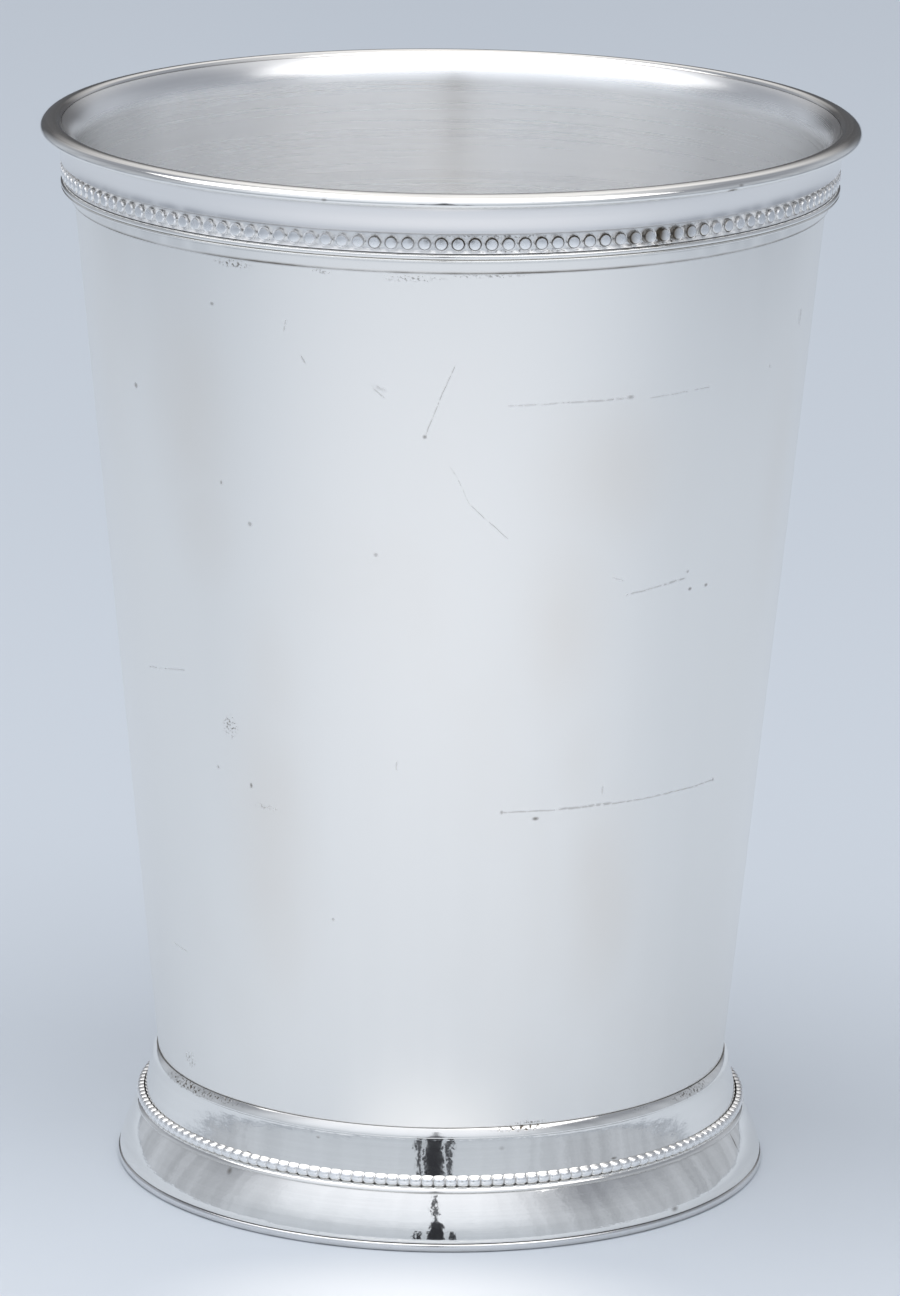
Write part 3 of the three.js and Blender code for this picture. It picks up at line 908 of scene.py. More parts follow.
BODY_BLOTCHES = (
    (-44.0, 80.0, 9.4, 17.2, 0.60),
    (-43.0, 70.0, 7.2, 10.3, 0.48),
    (-32.0, 38.0, 8.7, 23.0, 0.65),
    (-30.0, 55.0, 5.8, 11.5, 0.36),
    (27.0, 76.0, 13.0, 11.5, 0.60),
    (20.0, 62.0, 8.7, 16.1, 0.52),
    (29.5, 33.0, 8.7, 17.2, 0.65),
    (24.0, 48.0, 5.8, 10.3, 0.29),
    (68.0, 72.0, 5.8, 18.4, 0.36),
    (150.0, 60.0, 17.4, 25.3, 0.48),
    (-140.0, 45.0, 14.5, 27.6, 0.52),
    (100.0, 35.0, 11.6, 18.4, 0.40),
    (-100.0, 66.0, 13.0, 20.7, 0.40),
)

# %% List the marks of the lip, the bead strip and the foot
LIP_DOTS = (
    (41.5, 102.9, 1.0, 0.35, 0.85),
    (43.0, 103.3, 0.5, 0.2, 0.50),
    (-17.0, 103.2, 0.4, 0.2, 0.60),
)
SKIRT_DOTS = (
    (-42.0, 4.9, 0.5, 0.5, 0.70),
    (46.0, 1.4, 0.7, 0.4, 0.60),
    (71.0, 4.3, 0.25, 1.2, 0.90),
)
SHOULDER_DIRT = (
    (-61.0, 10.8, 6.0, 0.8, 1.8),
    (-50.0, 11.0, 5.0, 0.5, 1.1),
    (16.5, 11.05, 3.8, 0.4, 1.8),
    (60.0, 10.9, 5.0, 0.6, 1.2),
    (43.0, 11.0, 1.5, 0.3, 0.6),
)
STRIP_DIRT = (
    (33.0, 98.5, 7.0, 0.7, 0.9),
    (36.0, 99.7, 6.0, 0.5, 0.7),
    (6.0, 99.8, 11.0, 0.4, 0.7),
    (12.0, 98.4, 12.0, 0.3, 0.6),
    (-19.0, 99.1, 4.0, 0.8, 0.6),
    (70.0, 99.1, 10.0, 0.8, 0.5),
)
COLLAR_DOTS = (
    (-24.0, 9.6, 0.3, 0.2, 0.5),
    (-39.0, 6.9, 0.4, 0.15, 0.8),
    (35.0, 7.1, 0.5, 0.2, 0.8),
    (12.0, 9.3, 0.4, 0.3, 0.3),
)

body_marks = {
    "reach": wall_reach,
    "scratches": BODY_SCRATCHES,
    "dots": BODY_DOTS,
    "dirt": BODY_DIRT,
    "blotches": BODY_BLOTCHES,
}
lip_marks = {**NO_MARKS, "reach": lip_reach, "dots": LIP_DOTS}
strip_marks = {**NO_MARKS, "reach": bead_reach, "dirt": STRIP_DIRT}
shoulder_marks = {**NO_MARKS, "reach": shoulder_reach, "dirt": SHOULDER_DIRT}
collar_marks = {**NO_MARKS, "reach": collar_reach, "dots": COLLAR_DOTS}
skirt_marks = {**NO_MARKS, "reach": skirt_reach, "dots": SKIRT_DOTS}
print("marks on the body:", sum(map(len, (BODY_SCRATCHES, BODY_DOTS, BODY_DIRT, BODY_BLOTCHES))))

# %% Mix the finishes
RUBBED_UP = (260.0, 260.0, 6.0)
TURNED = (7.0, 7.0, 1100.0)
FROSTED = (400.0,) * 3
# name, tint, roughness, streaks, shade, anisotropy, grain, film, and for some marks and dents
FINISHES = (
    ("satin_silver_outside", SILVER, (0.22, 0.27), RUBBED_UP, (0.985, 1.01), 0.0, 0.06, 0.2, body_marks),
    ("satin_silver_inside", COOL_SILVER, (0.24, 0.32), TURNED, (0.97, 1.01), 0.85, 0.06, 0.1),
    ("polished_lip", SILVER, (0.08, 0.13), TURNED, (0.97, 1.02), 0.5, 0.03, 0.2, lip_marks),
    ("polished_silver", SILVER, (0.09, 0.15), TURNED, (0.96, 1.02), 0.5, 0.03, 0.3),
    ("polished_base", PAINTED_SHADE_BASE_SILVER, (0.10, 0.17), TURNED, (0.95, 1.02), 0.5, 0.03, 0.2),
    ("polished_shoulder", SILVER, (0.09, 0.15), TURNED, (0.96, 1.02), 0.5, 0.03, 0.3, shoulder_marks),
    ("polished_cove", PAINTED_SHADE_COVE_SILVER, (0.11, 0.17), TURNED, (0.95, 1.0), 0.85, 0.03, 0.2),
    ("lathe_polished_silver", SILVER, (0.10, 0.16), TURNED, (0.93, 1.0), 0.85, 0.03, 0.2),
    ("polished_collar", SILVER, (0.06, 0.10), TURNED, (0.95, 1.02), 0.7, 0.02, 0.15, collar_marks, 1.3),
    ("polished_skirt", SILVER, (0.05, 0.09), TURNED, (0.95, 1.02), 0.6, 0.02, 0.15, skirt_marks, 1.3),
    ("polished_beads", COOL_SILVER, (0.20, 0.30), FROSTED, (0.98, 1.02), 0.0, 0.2, 0.1),
    ("frosted_silver", FROST_SILVER, (0.34, 0.46), FROSTED, (0.97, 1.01), 0.0, 0.3, 0.1, strip_marks),
)
finishes = {recipe[0]: silver(*recipe) for recipe in FINISHES}
print("finishes:", len(finishes))

# %% [markdown]
# ## The wall of the tumbler
#
# The wall was spun or raised from one sheet. Near the mouth it curls outwards to carry the lip,
# in an arc. It was worked by hand, so it is nowhere a perfect cone: a few hundredths of a
# millimetre of slow ripple bend the reflections a little, as they do on the real cup. The
# outside is satin and the inside shows fine lines that run round it, so the two sides have a
# finish each. The rows of points are close together below the border and above the foot, where
# a thin line of tarnish lies along each joint.

# %% Turn the wall
FLARE_DEPTH = 2.95 * MM
FLARE_RADIUS = 3.4 * MM
FLARE_ANGLE = math.radians(58)
FLARE_POINTS = 18
WALL_ROWS = 44
RIPPLE = 0.018 * MM
WALL_WAVES = ((1.0, 3, 40, 0.0), (0.6, 7, -90, 1.0), (0.4, 11, 160, 0.0))
CLOSE_ROWS, CLOSE_RUN, CLOSE_PAST = 12, 0.6, 0.1
JOINT_LINE = 0.10 * MM

flare_start = cup_height - FLARE_DEPTH
flare_centre = (
    inner_radius(flare_start) + FLARE_RADIUS * math.cos(taper_angle),
    flare_start - FLARE_RADIUS * math.sin(taper_angle),
)


def flare(radius):
    """Arc of the flare at a distance from its centre, from the taper out to the lip."""
    return arc(flare_centre, -radius, radius, taper_angle, FLARE_ANGLE, FLARE_POINTS)


def wall_ripple(a, r, z):
    """Slow waves round the cup that drift with height and die out at both ends of the wall."""
    rise = np.clip((z - shoulder_top) / (band_bottom - shoulder_top), 0.0, 1.0)
    return RIPPLE * waves(WALL_WAVES, a, z) * np.sin(math.pi * rise) ** 2


def make_wall():
    """Outer taper and flare up, end face, inner flare and taper down, foot face."""
    outer_flare, inner_flare = flare(FLARE_RADIUS - SHEET), flare(FLARE_RADIUS)
    even = np.linspace(wall_bottom, outer_flare[0][1], WALL_ROWS)[:-1]
    high = band_bottom + np.linspace(-CLOSE_RUN, CLOSE_PAST, CLOSE_ROWS) * MM
    low = shoulder_top + np.linspace(-CLOSE_PAST, CLOSE_RUN, CLOSE_ROWS) * MM
    rows = np.unique(np.concatenate([even, high, low]))
    outer = np.stack([outer_radius(rows), rows], axis=1)
    down = np.linspace(inner_flare[0][1], wall_bottom, WALL_ROWS)[1:]
    inner = np.stack([inner_radius(down), down], axis=1)
    section = np.concatenate([outer, outer_flare, inner_flare[::-1], inner])
    corners = [
        (outer_radius(band_bottom), band_bottom, JOINT_LINE, 1.3),
        (outer_radius(shoulder_top), shoulder_top, JOINT_LINE * 0.7, 0.45),
    ]
    points, faces, unrolled, rolled, tarnish_and_shade = turn(section, corners, wall_ripple)
    first_inner = len(outer) + FLARE_POINTS - 1
    inner_side = (faces[0] % len(section)).min(axis=1) >= first_inner
    mesh = fill_mesh("wall", points, faces, unrolled, rolled, tarnish_and_shade, inner_side)
    both = ["satin_silver_outside", "satin_silver_inside"]
    add_piece(mesh, both, "tumbler_wall")


make_wall()

# %% [markdown]
# ## The floor of the tumbler
#
# The floor is a disc let into the wall a little below the foot's top edge, with solder run round
# it underneath. It is made like a ring whose section reaches the axis: a tiny hole would show as
# a dark pin-prick, so the middle is closed with a point of its own at top and bottom.

# %% Turn the floor
FLOOR_EDGE = 0.15 * MM
DISH, DISH_SHARE = 0.12 * MM, 1.02
FLOOR_RINGS = 24


def make_disc(name, section, low_pole, high_pole, corners):
    """Turns an open section that starts and ends near the axis, and closes each end with a fan."""
    across = len(section)
    a = once_round(np.arange(SEGMENTS), SEGMENTS)[:, None]
    tall = np.broadcast_to(section[None, :, 1], (SEGMENTS, across))
    poles = [[0, 0, low_pole], [0, 0, high_pole]]
    points = np.concatenate([round_points(a, section[None, :, 0], tall), poles])
    quads = grid_faces(SEGMENTS, across).reshape(SEGMENTS, across, 4)[:, :-1].reshape(-1, 4)
    i = np.arange(SEGMENTS) * across
    n = np.roll(i, -1)
    low, high = np.full(SEGMENTS, len(points) - 2), np.full(SEGMENTS, len(points) - 1)
    under = np.stack([n, i, low], axis=1)
    over = np.stack([i + across - 1, n + across - 1, high], axis=1)
    faces = [quads, np.concatenate([under, over])]
    corner_points = points[np.concatenate([f.ravel() for f in faces])]
    rolled = np.stack([points[:, 2], points[:, 2], np.hypot(points[:, 0], points[:, 1])], axis=1)
    tarnish_and_shade = np.append(np.tile(gathered(section, corners), SEGMENTS), [0.0, 0.0])
    return fill_mesh(name, points, faces, corner_points[:, :2] / MM, rolled, tarnish_and_shade)


def make_floor():
    """The top is dished towards the middle, by the square of the radius, and its edge is eased."""
    rim = floor_reach
    r = np.linspace(0.0, rim - FLOOR_EDGE, FLOOR_RINGS)
    dished = floor_top - DISH * (DISH_SHARE - (r / rim) ** 2)
    top = np.stack([r, dished], axis=1)[::-1]
    under = np.stack([r, np.full_like(r, floor_bottom)], axis=1)
    low_rim = inner_radius(floor_bottom) - JOINT
    side = [[low_rim, floor_bottom + FLOOR_EDGE], [rim, floor_top - FLOOR_EDGE]]
    section = np.concatenate([under[1:], side, top[:-1]])
    corners = [(rim, floor_top, 0.5 * MM, 0.6)]
    mesh = make_disc("cup_floor", section, floor_bottom, dished[0], corners)
    add_piece(mesh, ["satin_silver_inside"], "floor_disc")


make_floor()

# %% [markdown]
# ## The lip
#
# The lip is a wire of half-round section soldered over the edge of the flare. It is the
# brightest line on the cup. Under its overhang lies a dark crease.

# %% Turn the lip
CROWN_HEIGHT = 0.85 * MM
LIP_ROUND = 1.37 * MM
LIP_OVERHANG = 0.92 * MM
LIP_TOP_POINTS, LIP_FALL_POINTS = 18, 8
LIP_RIPPLE, LIP_RIPPLE_RUN = 0.012 * MM, 2 * MM
LIP_WAVES = ((1.0, 5, 0, 0.6), (0.7, 13, 0, 2.0), (0.5, 29, 700, 0.0))


def flare_end(radius):
    """End of the flare, one joint further out."""
    r, z = flare(radius)[-1]
    return np.array([r + JOINT * math.sin(FLARE_ANGLE), z + JOINT * math.cos(FLARE_ANGLE)])


def lip_ripple(a, r, z):
    """Small dents and swells round the outer side, which never reach past the full radius."""
    outwards = np.clip((r - flare(FLARE_RADIUS)[-1][0]) / LIP_RIPPLE_RUN, 0.0, 1.0)
    return LIP_RIPPLE * inward_waves(LIP_WAVES, a, z) * outwards


def make_lip():
    """Flat underneath, round outside, crowned on top, and running down inside to the wall."""
    widest = cup_height - CROWN_HEIGHT
    crease = (lip_reach - LIP_OVERHANG, lip_bottom)
    crown = (lip_reach - LIP_ROUND, cup_height)
    under = arc((crease[0], widest), LIP_OVERHANG, widest - lip_bottom, -math.pi / 2, 0)
    over = arc((crown[0], widest), LIP_ROUND, CROWN_HEIGHT, 0, math.pi / 2, LIP_TOP_POINTS)
    seat_top, seat_bottom = flare_end(FLARE_RADIUS), flare_end(FLARE_RADIUS - SHEET)
    t = np.linspace(0.0, 1.0, LIP_FALL_POINTS)[1:]
    drop = crown[1] - seat_top[1]
    fall = np.stack([crown[0] + (seat_top[0] - crown[0]) * t, crown[1] - drop * t * t], axis=1)
    section = np.concatenate([seat_bottom[None], under, over[1:], fall])
    corners = [(*crease, 0.22 * MM, 0.9), (*seat_top, 0.08 * MM, 0.4)]
    add_ring("lip", section, corners, "polished_lip", "lip_wire", lip_ripple)


make_lip()

# %% [markdown]
# ## The border
#
# Below the lip a strip of border runs round the wall: a hollow moulding, a channel with a row of
# beads, two fine reeds and a flat edge. Real edges are never knife sharp: solder, polishing and
# years of wear round them, and the small rounds catch a line of light. So each section is worked
# out with its true corners and then eased.

# %% Turn the cove and the mouldings of the border
COVE_SWEEP, COVE_POINTS = math.radians(60), 20
BORDER_EASE = 0.05 * MM
BAND_EASE = 0.10 * MM
REED_RELIEF = 0.26 * MM
LOWER_REED_SHARE = 0.36
REED_SET_BACK = 0.06 * MM


def make_cove():
    """A hollow that leaves the bead strip upright and curves out under the lip. It is the start
    of an ellipse: out by a share (1 - cos a) and up by a share sin a, a from 0 to the sweep."""
    top_radius = lip_reach - LIP_OVERHANG
    a = np.linspace(0.0, COVE_SWEEP, COVE_POINTS)
    reach = bead_reach + (top_radius - bead_reach) * (1 - np.cos(a)) / (1 - math.cos(COVE_SWEEP))
    rise = cove_bottom + (cove_top - cove_bottom) * np.sin(a) / math.sin(COVE_SWEEP)
    hollow = np.stack([reach, rise], axis=1)
    back = flare(FLARE_RADIUS - SHEET - JOINT)[::-1]
    foot = np.array([[outer_radius(cove_bottom) + JOINT, cove_bottom]])
    section = eased(np.concatenate([foot, hollow, back]), BORDER_EASE)
    corners = [(top_radius, cove_top, 0.34 * MM, 0.9), (bead_reach, cove_bottom, 0.07 * MM, 0.6)]
    add_ring("border_cove", section, corners, "polished_cove", "rim_cove_band")


def make_border_reeds():
    """Two half-round reeds one above the other, the upper one larger and standing out further."""
    groove = reed_bottom + (reed_top - reed_bottom) * LOWER_REED_SHARE
    upper = (bead_reach - REED_RELIEF, (reed_top + groove) / 2)
    lower = (upper[0] - REED_SET_BACK, (groove + reed_bottom) / 2)
    rounds = [
        arc(lower, REED_RELIEF, groove - lower[1], -math.pi / 2, math.pi / 2),
        arc(upper, REED_RELIEF, reed_top - upper[1], -math.pi / 2, math.pi / 2),
    ]
    low = np.array([[outer_radius(reed_bottom) + JOINT, reed_bottom]])
    high = np.array([[outer_radius(reed_top) + JOINT, reed_top]])
    section = np.concatenate([low, *rounds, high])
    corners = [
        (lower[0], reed_bottom, 0.08 * MM, 0.3),
        (upper[0], groove, 0.06 * MM, 0.1),
        (upper[0], reed_top, 0.06 * MM, 0.1),
    ]
    add_ring("border_reeds", section, corners, "polished_silver", "rim_moulding_wire")


def make_edge_band():
    """A thin flat strip with eased edges, and tarnish along its lower one."""
    face_low = (outer_radius(band_bottom) + EDGE_BAND_STAND, band_bottom)
    face_high = (outer_radius(band_top) + EDGE_BAND_STAND, band_top)
    back_low = (outer_radius(band_bottom) + JOINT, band_bottom)
    back_high = (outer_radius(band_top) + JOINT, band_top)
    section = eased([back_low, face_low, face_high, back_high], BAND_EASE)
    corners = [(*face_low, 0.12 * MM, 1.4), (*face_high, 0.07 * MM, 0.3)]
    add_ring("border_edge_band", section, corners, "lathe_polished_silver", "rim_edge_band")


make_cove()
make_border_reeds()
make_edge_band()

# %% [markdown]
# ## The beads of the border
#
# The border's beads were pressed into a strip from behind: a frosted ground with a row of small
# flattened domes, worn bright on top. A low rail runs along the strip's lower edge. The fine crease
# round each dome is painted dark, partly dirt and partly painted shade, and less towards the left of the
# cup. Along the tops of the beads in the middle more dark is painted on, a painted reflection of dark
# things. The left sides of a few beads on the right are painted black, also as dark reflections.
#
# The strip is a ring like the others. One dome is worked out as a grid, rings of points from its
# top down to its base, and then copied round the cup by turning the whole array at once. Each
# dome has only a few dozen faces, because there are so many.

# %% Press the border's beads
BEAD_PITCH = 1.55 * MM
BEAD_RADIUS = 0.74 * MM
BEAD_RELIEF = 0.5 * MM
BEAD_ROOT = 0.06 * MM
STRIP_RAIL, STRIP_SLOPE = 0.22 * MM, 0.30 * MM
DOME_SHARES = np.array([0.40, 0.66, 0.78, 0.89, 1.0])
DOME_POWER = 4.0
# Dirt and painted shade on each ring of a dome, most in its crease.
DOME_DIRT_AND_SHADE = np.array([0.0, 0.0, 0.85, 0.03, 0.02, 0.10])
CREASE_SHARE, CREASE_WIDTH, CREASE_DEPTH = 0.78, 0.06, 0.10 * MM
FADE_ANGLE, FADE_WIDTH, FADE_LEAST = 0.0, 35.0, 0.25
DOME_SECTORS = 12
BEAD_SEED, WORN_LEAST, WORN_MOST = 5, 0.5, 1.4
# Painted dark reflections: black on the left sides of a few beads on the right, and over the bead tops a
# little right of the front.
BLACK_REFLECTION_ANGLE, BLACK_REFLECTION_WIDTH, BLACK_REFLECTION_DEPTH = 31.0, 4.5, 2.6
TOP_REFLECTION_ANGLE, TOP_REFLECTION_WIDTH, TOP_REFLECTION_DEPTH = 8.0, 16.0, 2.2
DARK_REFLECTION_SHIFT, MOST_DIRT_AND_SHADE = 0.3, 2.5
bead_count = round(2 * math.pi * bead_reach / BEAD_PITCH)


def dome():
    """A flattened cap: at a share s of the radius from its middle its height is the relief times
    (1 - s^p)^(1/p), down to 0 at the edge, then one ring sunk by the root. A crease follows the
    cap's edge, and its depth is a bell of s."""
    b = np.arange(DOME_SECTORS) / DOME_SECTORS * 2 * math.pi
    d = np.append(DOME_SHARES, 1.0) * BEAD_RADIUS
    crease = CREASE_DEPTH * bell(DOME_SHARES, CREASE_SHARE, CREASE_WIDTH)
    cap = BEAD_RELIEF * (1.0 - DOME_SHARES**DOME_POWER) ** (1 / DOME_POWER)
    tall = np.broadcast_to(np.append(cap - crease, -BEAD_ROOT)[:, None], (len(d), DOME_SECTORS))
    grid = np.stack([d[:, None] * np.cos(b)[None], d[:, None] * np.sin(b)[None], tall], axis=-1)
    points = np.concatenate([grid.reshape(-1, 3), [[0, 0, BEAD_RELIEF], [0, 0, -BEAD_ROOT]]])
    # Dirt and painted shade in the crease round the dome, and under its base.
    dirt = np.append(np.repeat(DOME_DIRT_AND_SHADE, DOME_SECTORS), [0.0, 1.0])
    return points, dirt


def dome_faces(rings):
    """Quads between the rings, and triangles in a fan round the top and under the base."""
    k, s = np.meshgrid(np.arange(rings - 1), np.arange(DOME_SECTORS), indexing="ij")
    n = (s + 1) % DOME_SECTORS
    here, below = k * DOME_SECTORS, (k + 1) * DOME_SECTORS
    quads = np.stack([here + s, below + s, below + n, here + n], axis=-1).reshape(-1, 4)
    s = np.arange(DOME_SECTORS)
    n = (s + 1) % DOME_SECTORS
    top, last = rings * DOME_SECTORS, (rings - 1) * DOME_SECTORS
    cap = np.stack([np.full_like(s, top), s, n], axis=1)
    under = np.stack([np.full_like(s, top + 1), last + n, last + s], axis=1)
    return quads, np.concatenate([cap, under])


def make_border_beads():
    """The strip's own ring, and the domes standing on it. A dome's dirt and painted shade is that of its
    crease times a random share, fading towards the left of the cup. On its upper side, a little right of
    the front, it carries a painted dark reflection. On a few beads on the right its left side is painted
    black all over, also a painted dark reflection."""
    ground = bead_reach - BEAD_RELIEF
    middle = (bead_top + bead_bottom) / 2
    section = [
        (outer_radius(bead_bottom) + JOINT, bead_bottom),
        (ground + STRIP_RAIL, bead_bottom),
        (ground, bead_bottom + STRIP_SLOPE),
        (ground, bead_top),
        (outer_radius(bead_top) + JOINT, bead_top),
    ]
    section = filled(eased(section, BORDER_EASE))
    corners = [
        (ground, bead_bottom + STRIP_SLOPE, 0.08 * MM, 0.1),
        (ground, bead_top, 0.10 * MM, 0.6),
    ]
    strip_points, strip_faces, strip_flat, strip_rolled, strip_dirt_and_shade = turn(section, corners)
    cap, cap_dirt_and_shade = dome()
    a = once_round(np.arange(bead_count) + 0.5, bead_count)
    out, side, rise = ground + cap[None, :, 2], cap[None, :, 0], cap[None, :, 1]
    left, high = (np.clip(way / BEAD_RADIUS + DARK_REFLECTION_SHIFT, 0.0, 1.0) for way in (-side, rise))
    angle = np.degrees(a)[:, None]
    worn = np.random.default_rng(BEAD_SEED).uniform(WORN_LEAST, WORN_MOST, (bead_count, 1))
    # The crease's dark fades towards the left of the cup.
    worn *= np.clip(1.0 + (angle - FADE_ANGLE) / FADE_WIDTH, FADE_LEAST, 1.0)
    # Painted dark reflections: black over the left sides of a few beads on the right, and over the tops
    # of the beads near the middle.
    black_reflection = BLACK_REFLECTION_DEPTH * bell(angle, BLACK_REFLECTION_ANGLE, BLACK_REFLECTION_WIDTH) * left
    top_reflection = TOP_REFLECTION_DEPTH * bell(angle, TOP_REFLECTION_ANGLE, TOP_REFLECTION_WIDTH) * high
    dome_dirt_and_shade = np.clip(cap_dirt_and_shade[None] * (worn + top_reflection) + black_reflection * worn, 0.0, MOST_DIRT_AND_SHADE)
    sin, cos = np.sin(a)[:, None], np.cos(a)[:, None]
    up = np.broadcast_to(middle + rise, (bead_count, len(cap)))
    dome_points = np.stack([out * sin + side * cos, -out * cos + side * sin, up], axis=-1)
    dome_points = dome_points.reshape(-1, 3)
    shift = len(strip_points) + (np.arange(bead_count) * len(cap))[:, None, None]
    one_dome = dome_faces(len(DOME_SHARES) + 1)
    domes = [(part[None] + shift).reshape(-1, part.shape[1]) for part in one_dome]
    dome_flat = np.stack([a[:, None] * bead_reach + side, up], axis=-1).reshape(-1, 2) / MM
    corner_flat = np.concatenate([dome_flat[f.ravel() - len(strip_points)] for f in domes])
    faces = [*strip_faces, *domes]
    kinds = np.repeat([0, 1, 1], [len(f) for f in faces])
    mesh = fill_mesh(
        "border_beads",
        np.concatenate([strip_points, dome_points]),
        faces,
        np.concatenate([strip_flat, corner_flat]),
        np.concatenate([strip_rolled, dome_points]),
        np.concatenate([strip_dirt_and_shade, dome_dirt_and_shade.ravel()]),
        kinds,
    )
    both = ["frosted_silver", "polished_beads"]
    add_piece(mesh, both, "rim_bead_wire")


make_border_beads()
print("beads round the border:", bead_count)

# %% [markdown]
# ## The foot
#
# The foot is made of sheet and wire: a rounded wire on the top edge, a collar that holds the
# body, a wire of close barrel beads, a thin reed, a flared skirt and a plain wire that the cup
# stands on. The top wire and the reed are worn down to flatter arcs. The sheets are polished
# bright but not quite true, and their slow waves bend what they reflect.

# %% Turn the foot's plain pieces
SHOULDER_FLAT = 0.1 * MM
WORN_TILT = math.radians(16)
SEAM_STEP = 0.005 * MM
FOOT_EASE = 0.03 * MM
COLLAR_POWER = 1.15
SKIRT_BULGE_POWER = 1.5
BASE_WIDTH = 1.3 * MM
BASE_ROUND, BASE_STEPS = 0.3 * MM, 8
FOOT_RIPPLE = 0.016 * MM
FOOT_WAVES = ((1.0, 9, 300, 0.0), (0.8, 17, -500, 1.0), (0.5, 37, 0, 2.0))


def foot_ripple(a, r, z):
    """Waves round the foot that drift with height, always inwards of the true radius."""
    return FOOT_RIPPLE * inward_waves(FOOT_WAVES, a, z)


def worn_round(low, high):
    """A circle's arc between two points. Its normal tilts up by WORN_TILT at the low one, so the
    arc spans twice the angle between that tilt and the normal of the straight line."""
    slope = math.atan2(low[0] - high[0], high[1] - low[1])
    radius = math.dist(low, high) / (2.0 * math.sin(slope - WORN_TILT))
    centre = (low[0] - radius * math.cos(WORN_TILT), low[1] - radius * math.sin(WORN_TILT))
    return arc(centre, radius, radius, WORN_TILT, 2.0 * slope - WORN_TILT)


def make_shoulder():
    """The wire on the foot's top edge, with its solder filling the seam down to the collar."""
    seat = outer_radius(shoulder_top) + JOINT
    round_side = worn_round((shoulder_reach, shoulder_bottom), (seat + SHOULDER_FLAT, shoulder_top))
    seam = [(outer_radius(collar_top) + JOINT, collar_top), (shoulder_reach - SEAM_STEP, collar_top)]
    section = np.concatenate([seam, round_side, [[seat, shoulder_top]]])
    corners = [(seat, shoulder_top, 0.08 * MM, 0.35)]
    add_ring("foot_shoulder_wire", section, corners, "polished_shoulder", "foot_top_wire")


def make_collar():
    """A sheet that spreads downwards, and a straight lap below that carries the beads."""
    outer = spreading((shoulder_reach, collar_top), (collar_reach, foot_bead_top), COLLAR_POWER)
    inner = outer - np.array([FOOT_SHEET, 0.0])
    lap_out, lap_in = ([[radius, lap_bottom]] for radius in (collar_reach, collar_reach - FOOT_SHEET))
    section = eased(np.concatenate([lap_out, outer[::-1], inner, lap_in]), FOOT_EASE)
    corners = [(collar_reach, foot_bead_top, 0.10 * MM, 0.3)]
    finish = "polished_collar"
    add_ring("foot_collar_sheet", section, corners, finish, "foot_collar", foot_ripple)


def make_foot_reed():
    """A half-round reed against the lap, worn on top."""
    lap = collar_reach + JOINT
    nose = worn_round((foot_reed_reach, foot_reed_bottom), (lap, foot_reed_top))
    section = np.concatenate([[[lap, foot_reed_bottom]], nose])
    corners = [(foot_reed_reach, foot_reed_bottom, 0.06 * MM, 0.4)]
    add_ring("foot_reed", section, corners, "polished_silver", "foot_reed_wire")


def make_skirt():
    """A flared sheet from the reed down to the base wire."""
    top = (collar_reach + JOINT + FOOT_SHEET, skirt_top)
    outer = bulging(top, (skirt_reach, skirt_bottom), SKIRT_BULGE_POWER)
    inner = outer - np.array([FOOT_SHEET, 0.0])
    section = eased(np.concatenate([outer[::-1], inner]), FOOT_EASE)
    corners = [(*top, 0.12 * MM, 0.35), (skirt_reach, skirt_bottom, 0.08 * MM, 0.3)]
    add_ring("foot_skirt_sheet", section, corners, "polished_skirt", "foot_skirt", foot_ripple)


def make_base():
    """The ring that the cup stands on: flat underneath, its outer edges rounded."""
    inner = base_reach - BASE_WIDTH
    box = [(inner, base_bottom), (base_reach, base_bottom), (base_reach, base_top), (inner, base_top)]
    section = eased(box, BASE_ROUND, BASE_STEPS)
    corners = [(skirt_reach, base_top, 0.12 * MM, 0.3), (base_reach, base_bottom, 0.30 * MM, 0.5)]
    add_ring("foot_base_ring", section, corners, "polished_base", "foot_base_wire")


make_shoulder()
make_collar()
make_foot_reed()
make_skirt()
make_base()

# %% [markdown]
# ## The beads of the foot
#
# These beads are barrels that touch each other, cut from a wire by a knurling wheel, and they
# stand a little above the edge of the collar. One formula gives the whole wire: a full round
# section whose reach drops in a narrow notch between two beads. The grid steps are closer
# together at the notches, so that each barrel needs few faces.

# %% Roll the foot's bead wire
FOOT_BEAD_PITCH = 1.145 * MM
# The notches and the barrels' undersides are painted darker: dirt and painted shade.
NOTCH_DEPTH, NOTCH_POWER, NOTCH_PINCH, NOTCH_DIRT_AND_SHADE = 0.26 * MM, 4, 0.2, 0.4
FOOT_BEAD_RISE = 0.16 * MM
BARREL_POWER = 0.6
UNDER_DIRT_AND_SHADE, UNDER_WIDTH = 0.1, 0.5
BARREL_STEPS = (0.0, 0.05, 0.12, 0.26, 0.5, 0.74, 0.88, 0.95)
BARREL_POINTS = 9
foot_bead_count = round(2 * math.pi * foot_bead_reach / FOOT_BEAD_PITCH)


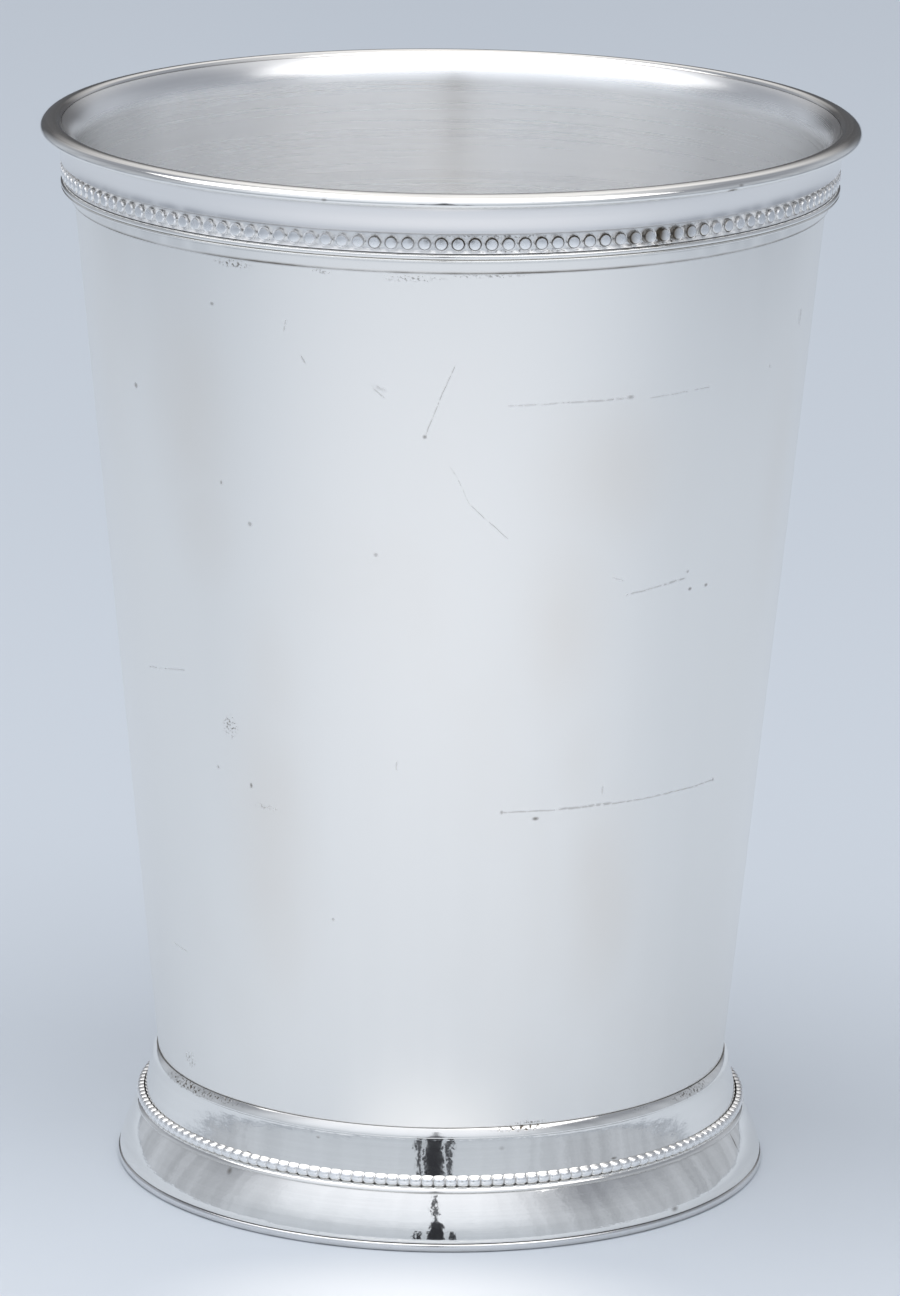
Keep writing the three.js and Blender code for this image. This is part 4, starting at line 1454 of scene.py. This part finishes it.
def make_foot_beads():
    """Point (u, t): the reach is lap + (stand - notch) * cos(t)^0.6 and the height is
    middle + half * sin(t), t from -90 to 90 degrees. The notch is |2u - 1|^4 of its depth."""
    lap = collar_reach + JOINT
    stand = foot_bead_reach - lap
    top, bottom = foot_bead_top + FOOT_BEAD_RISE, foot_reed_top
    middle, half = (top + bottom) / 2, (top - bottom) / 2
    share = (np.arange(foot_bead_count)[:, None] + np.array(BARREL_STEPS)[None]).ravel()
    a = once_round(share, foot_bead_count)
    t = np.linspace(-math.pi / 2, math.pi / 2, BARREL_POINTS)
    near = (np.abs(2 * (share % 1.0) - 1.0) ** NOTCH_POWER)[:, None]
    reach = lap + (stand - NOTCH_DEPTH * near) * np.abs(np.cos(t))[None] ** BARREL_POWER
    tall = middle + half * np.sin(t)[None] * (1.0 - NOTCH_PINCH * near)
    # Dirt and painted shade in the notches between the beads and under each barrel.
    under = UNDER_DIRT_AND_SHADE * bell(t[None], -math.pi / 2, UNDER_WIDTH)
    dirt = np.maximum(NOTCH_DIRT_AND_SHADE * near**2, under)
    reach, tall, dirt = (
        np.concatenate([part, np.full((len(a), 1), back)], axis=1)
        for part, back in ((reach, lap), (tall, middle), (dirt, 0.0))
    )
    angle = np.broadcast_to(a[:, None], reach.shape)
    points = round_points(angle, reach, tall)
    quads = grid_faces(len(a), BARREL_POINTS + 1)
    flat = np.stack([angle.ravel() * foot_bead_reach, points[:, 2]], axis=1) / MM
    mesh = fill_mesh("foot_beads", points, [quads], flat[quads.ravel()], points, dirt.ravel())
    add_piece(mesh, ["polished_beads"], "foot_bead_wire")


make_foot_beads()
print("beads round the foot:", foot_bead_count)

# %% [markdown]
# ## Solder
#
# Two fillets of solder can be seen only from underneath. The CAD pieces have the right shape, so
# they keep it and get the solder's finish. A CAD piece has no unrolled map, so this finish reads
# nothing but the place in the object: dull grey with dark patches and a coarse grain.

# %% Colour the solder
SOLDER = (0.70, 0.69, 0.67)
SOLDER_DARK = (0.30, 0.27, 0.23)
LUMP_SCALE, LUMP_EDGES, LUMP_ROUGHNESS = (420.0,) * 3, (0.45, 0.72), (0.4, 0.65)
LUMP_DEPTH, LUMP_STRENGTH = 0.10 * MM, 0.6


def make_solder():
    """Grey metal with patches of dark flux and a grain of small lumps."""
    material, tree = new_material("grey_solder")
    place = shader(tree, "ShaderNodeTexCoord").outputs["Object"]
    lumps = stretched_noise(tree, place, LUMP_SCALE, detail=4.0)
    colour = mix_colours(tree, soft_step(tree, lumps, *LUMP_EDGES), SOLDER, SOLDER_DARK)
    roughness = level_range(tree, lumps, *LUMP_ROUGHNESS)
    metal(tree, colour, roughness, lumps, LUMP_DEPTH, LUMP_STRENGTH)
    return material


solder = make_solder()
for name in ("floor_solder_fillet", "foot_solder_fillet"):
    frame["nodes"][name].data.materials.clear()
    frame["nodes"][name].data.materials.append(solder)
print("solder coloured")
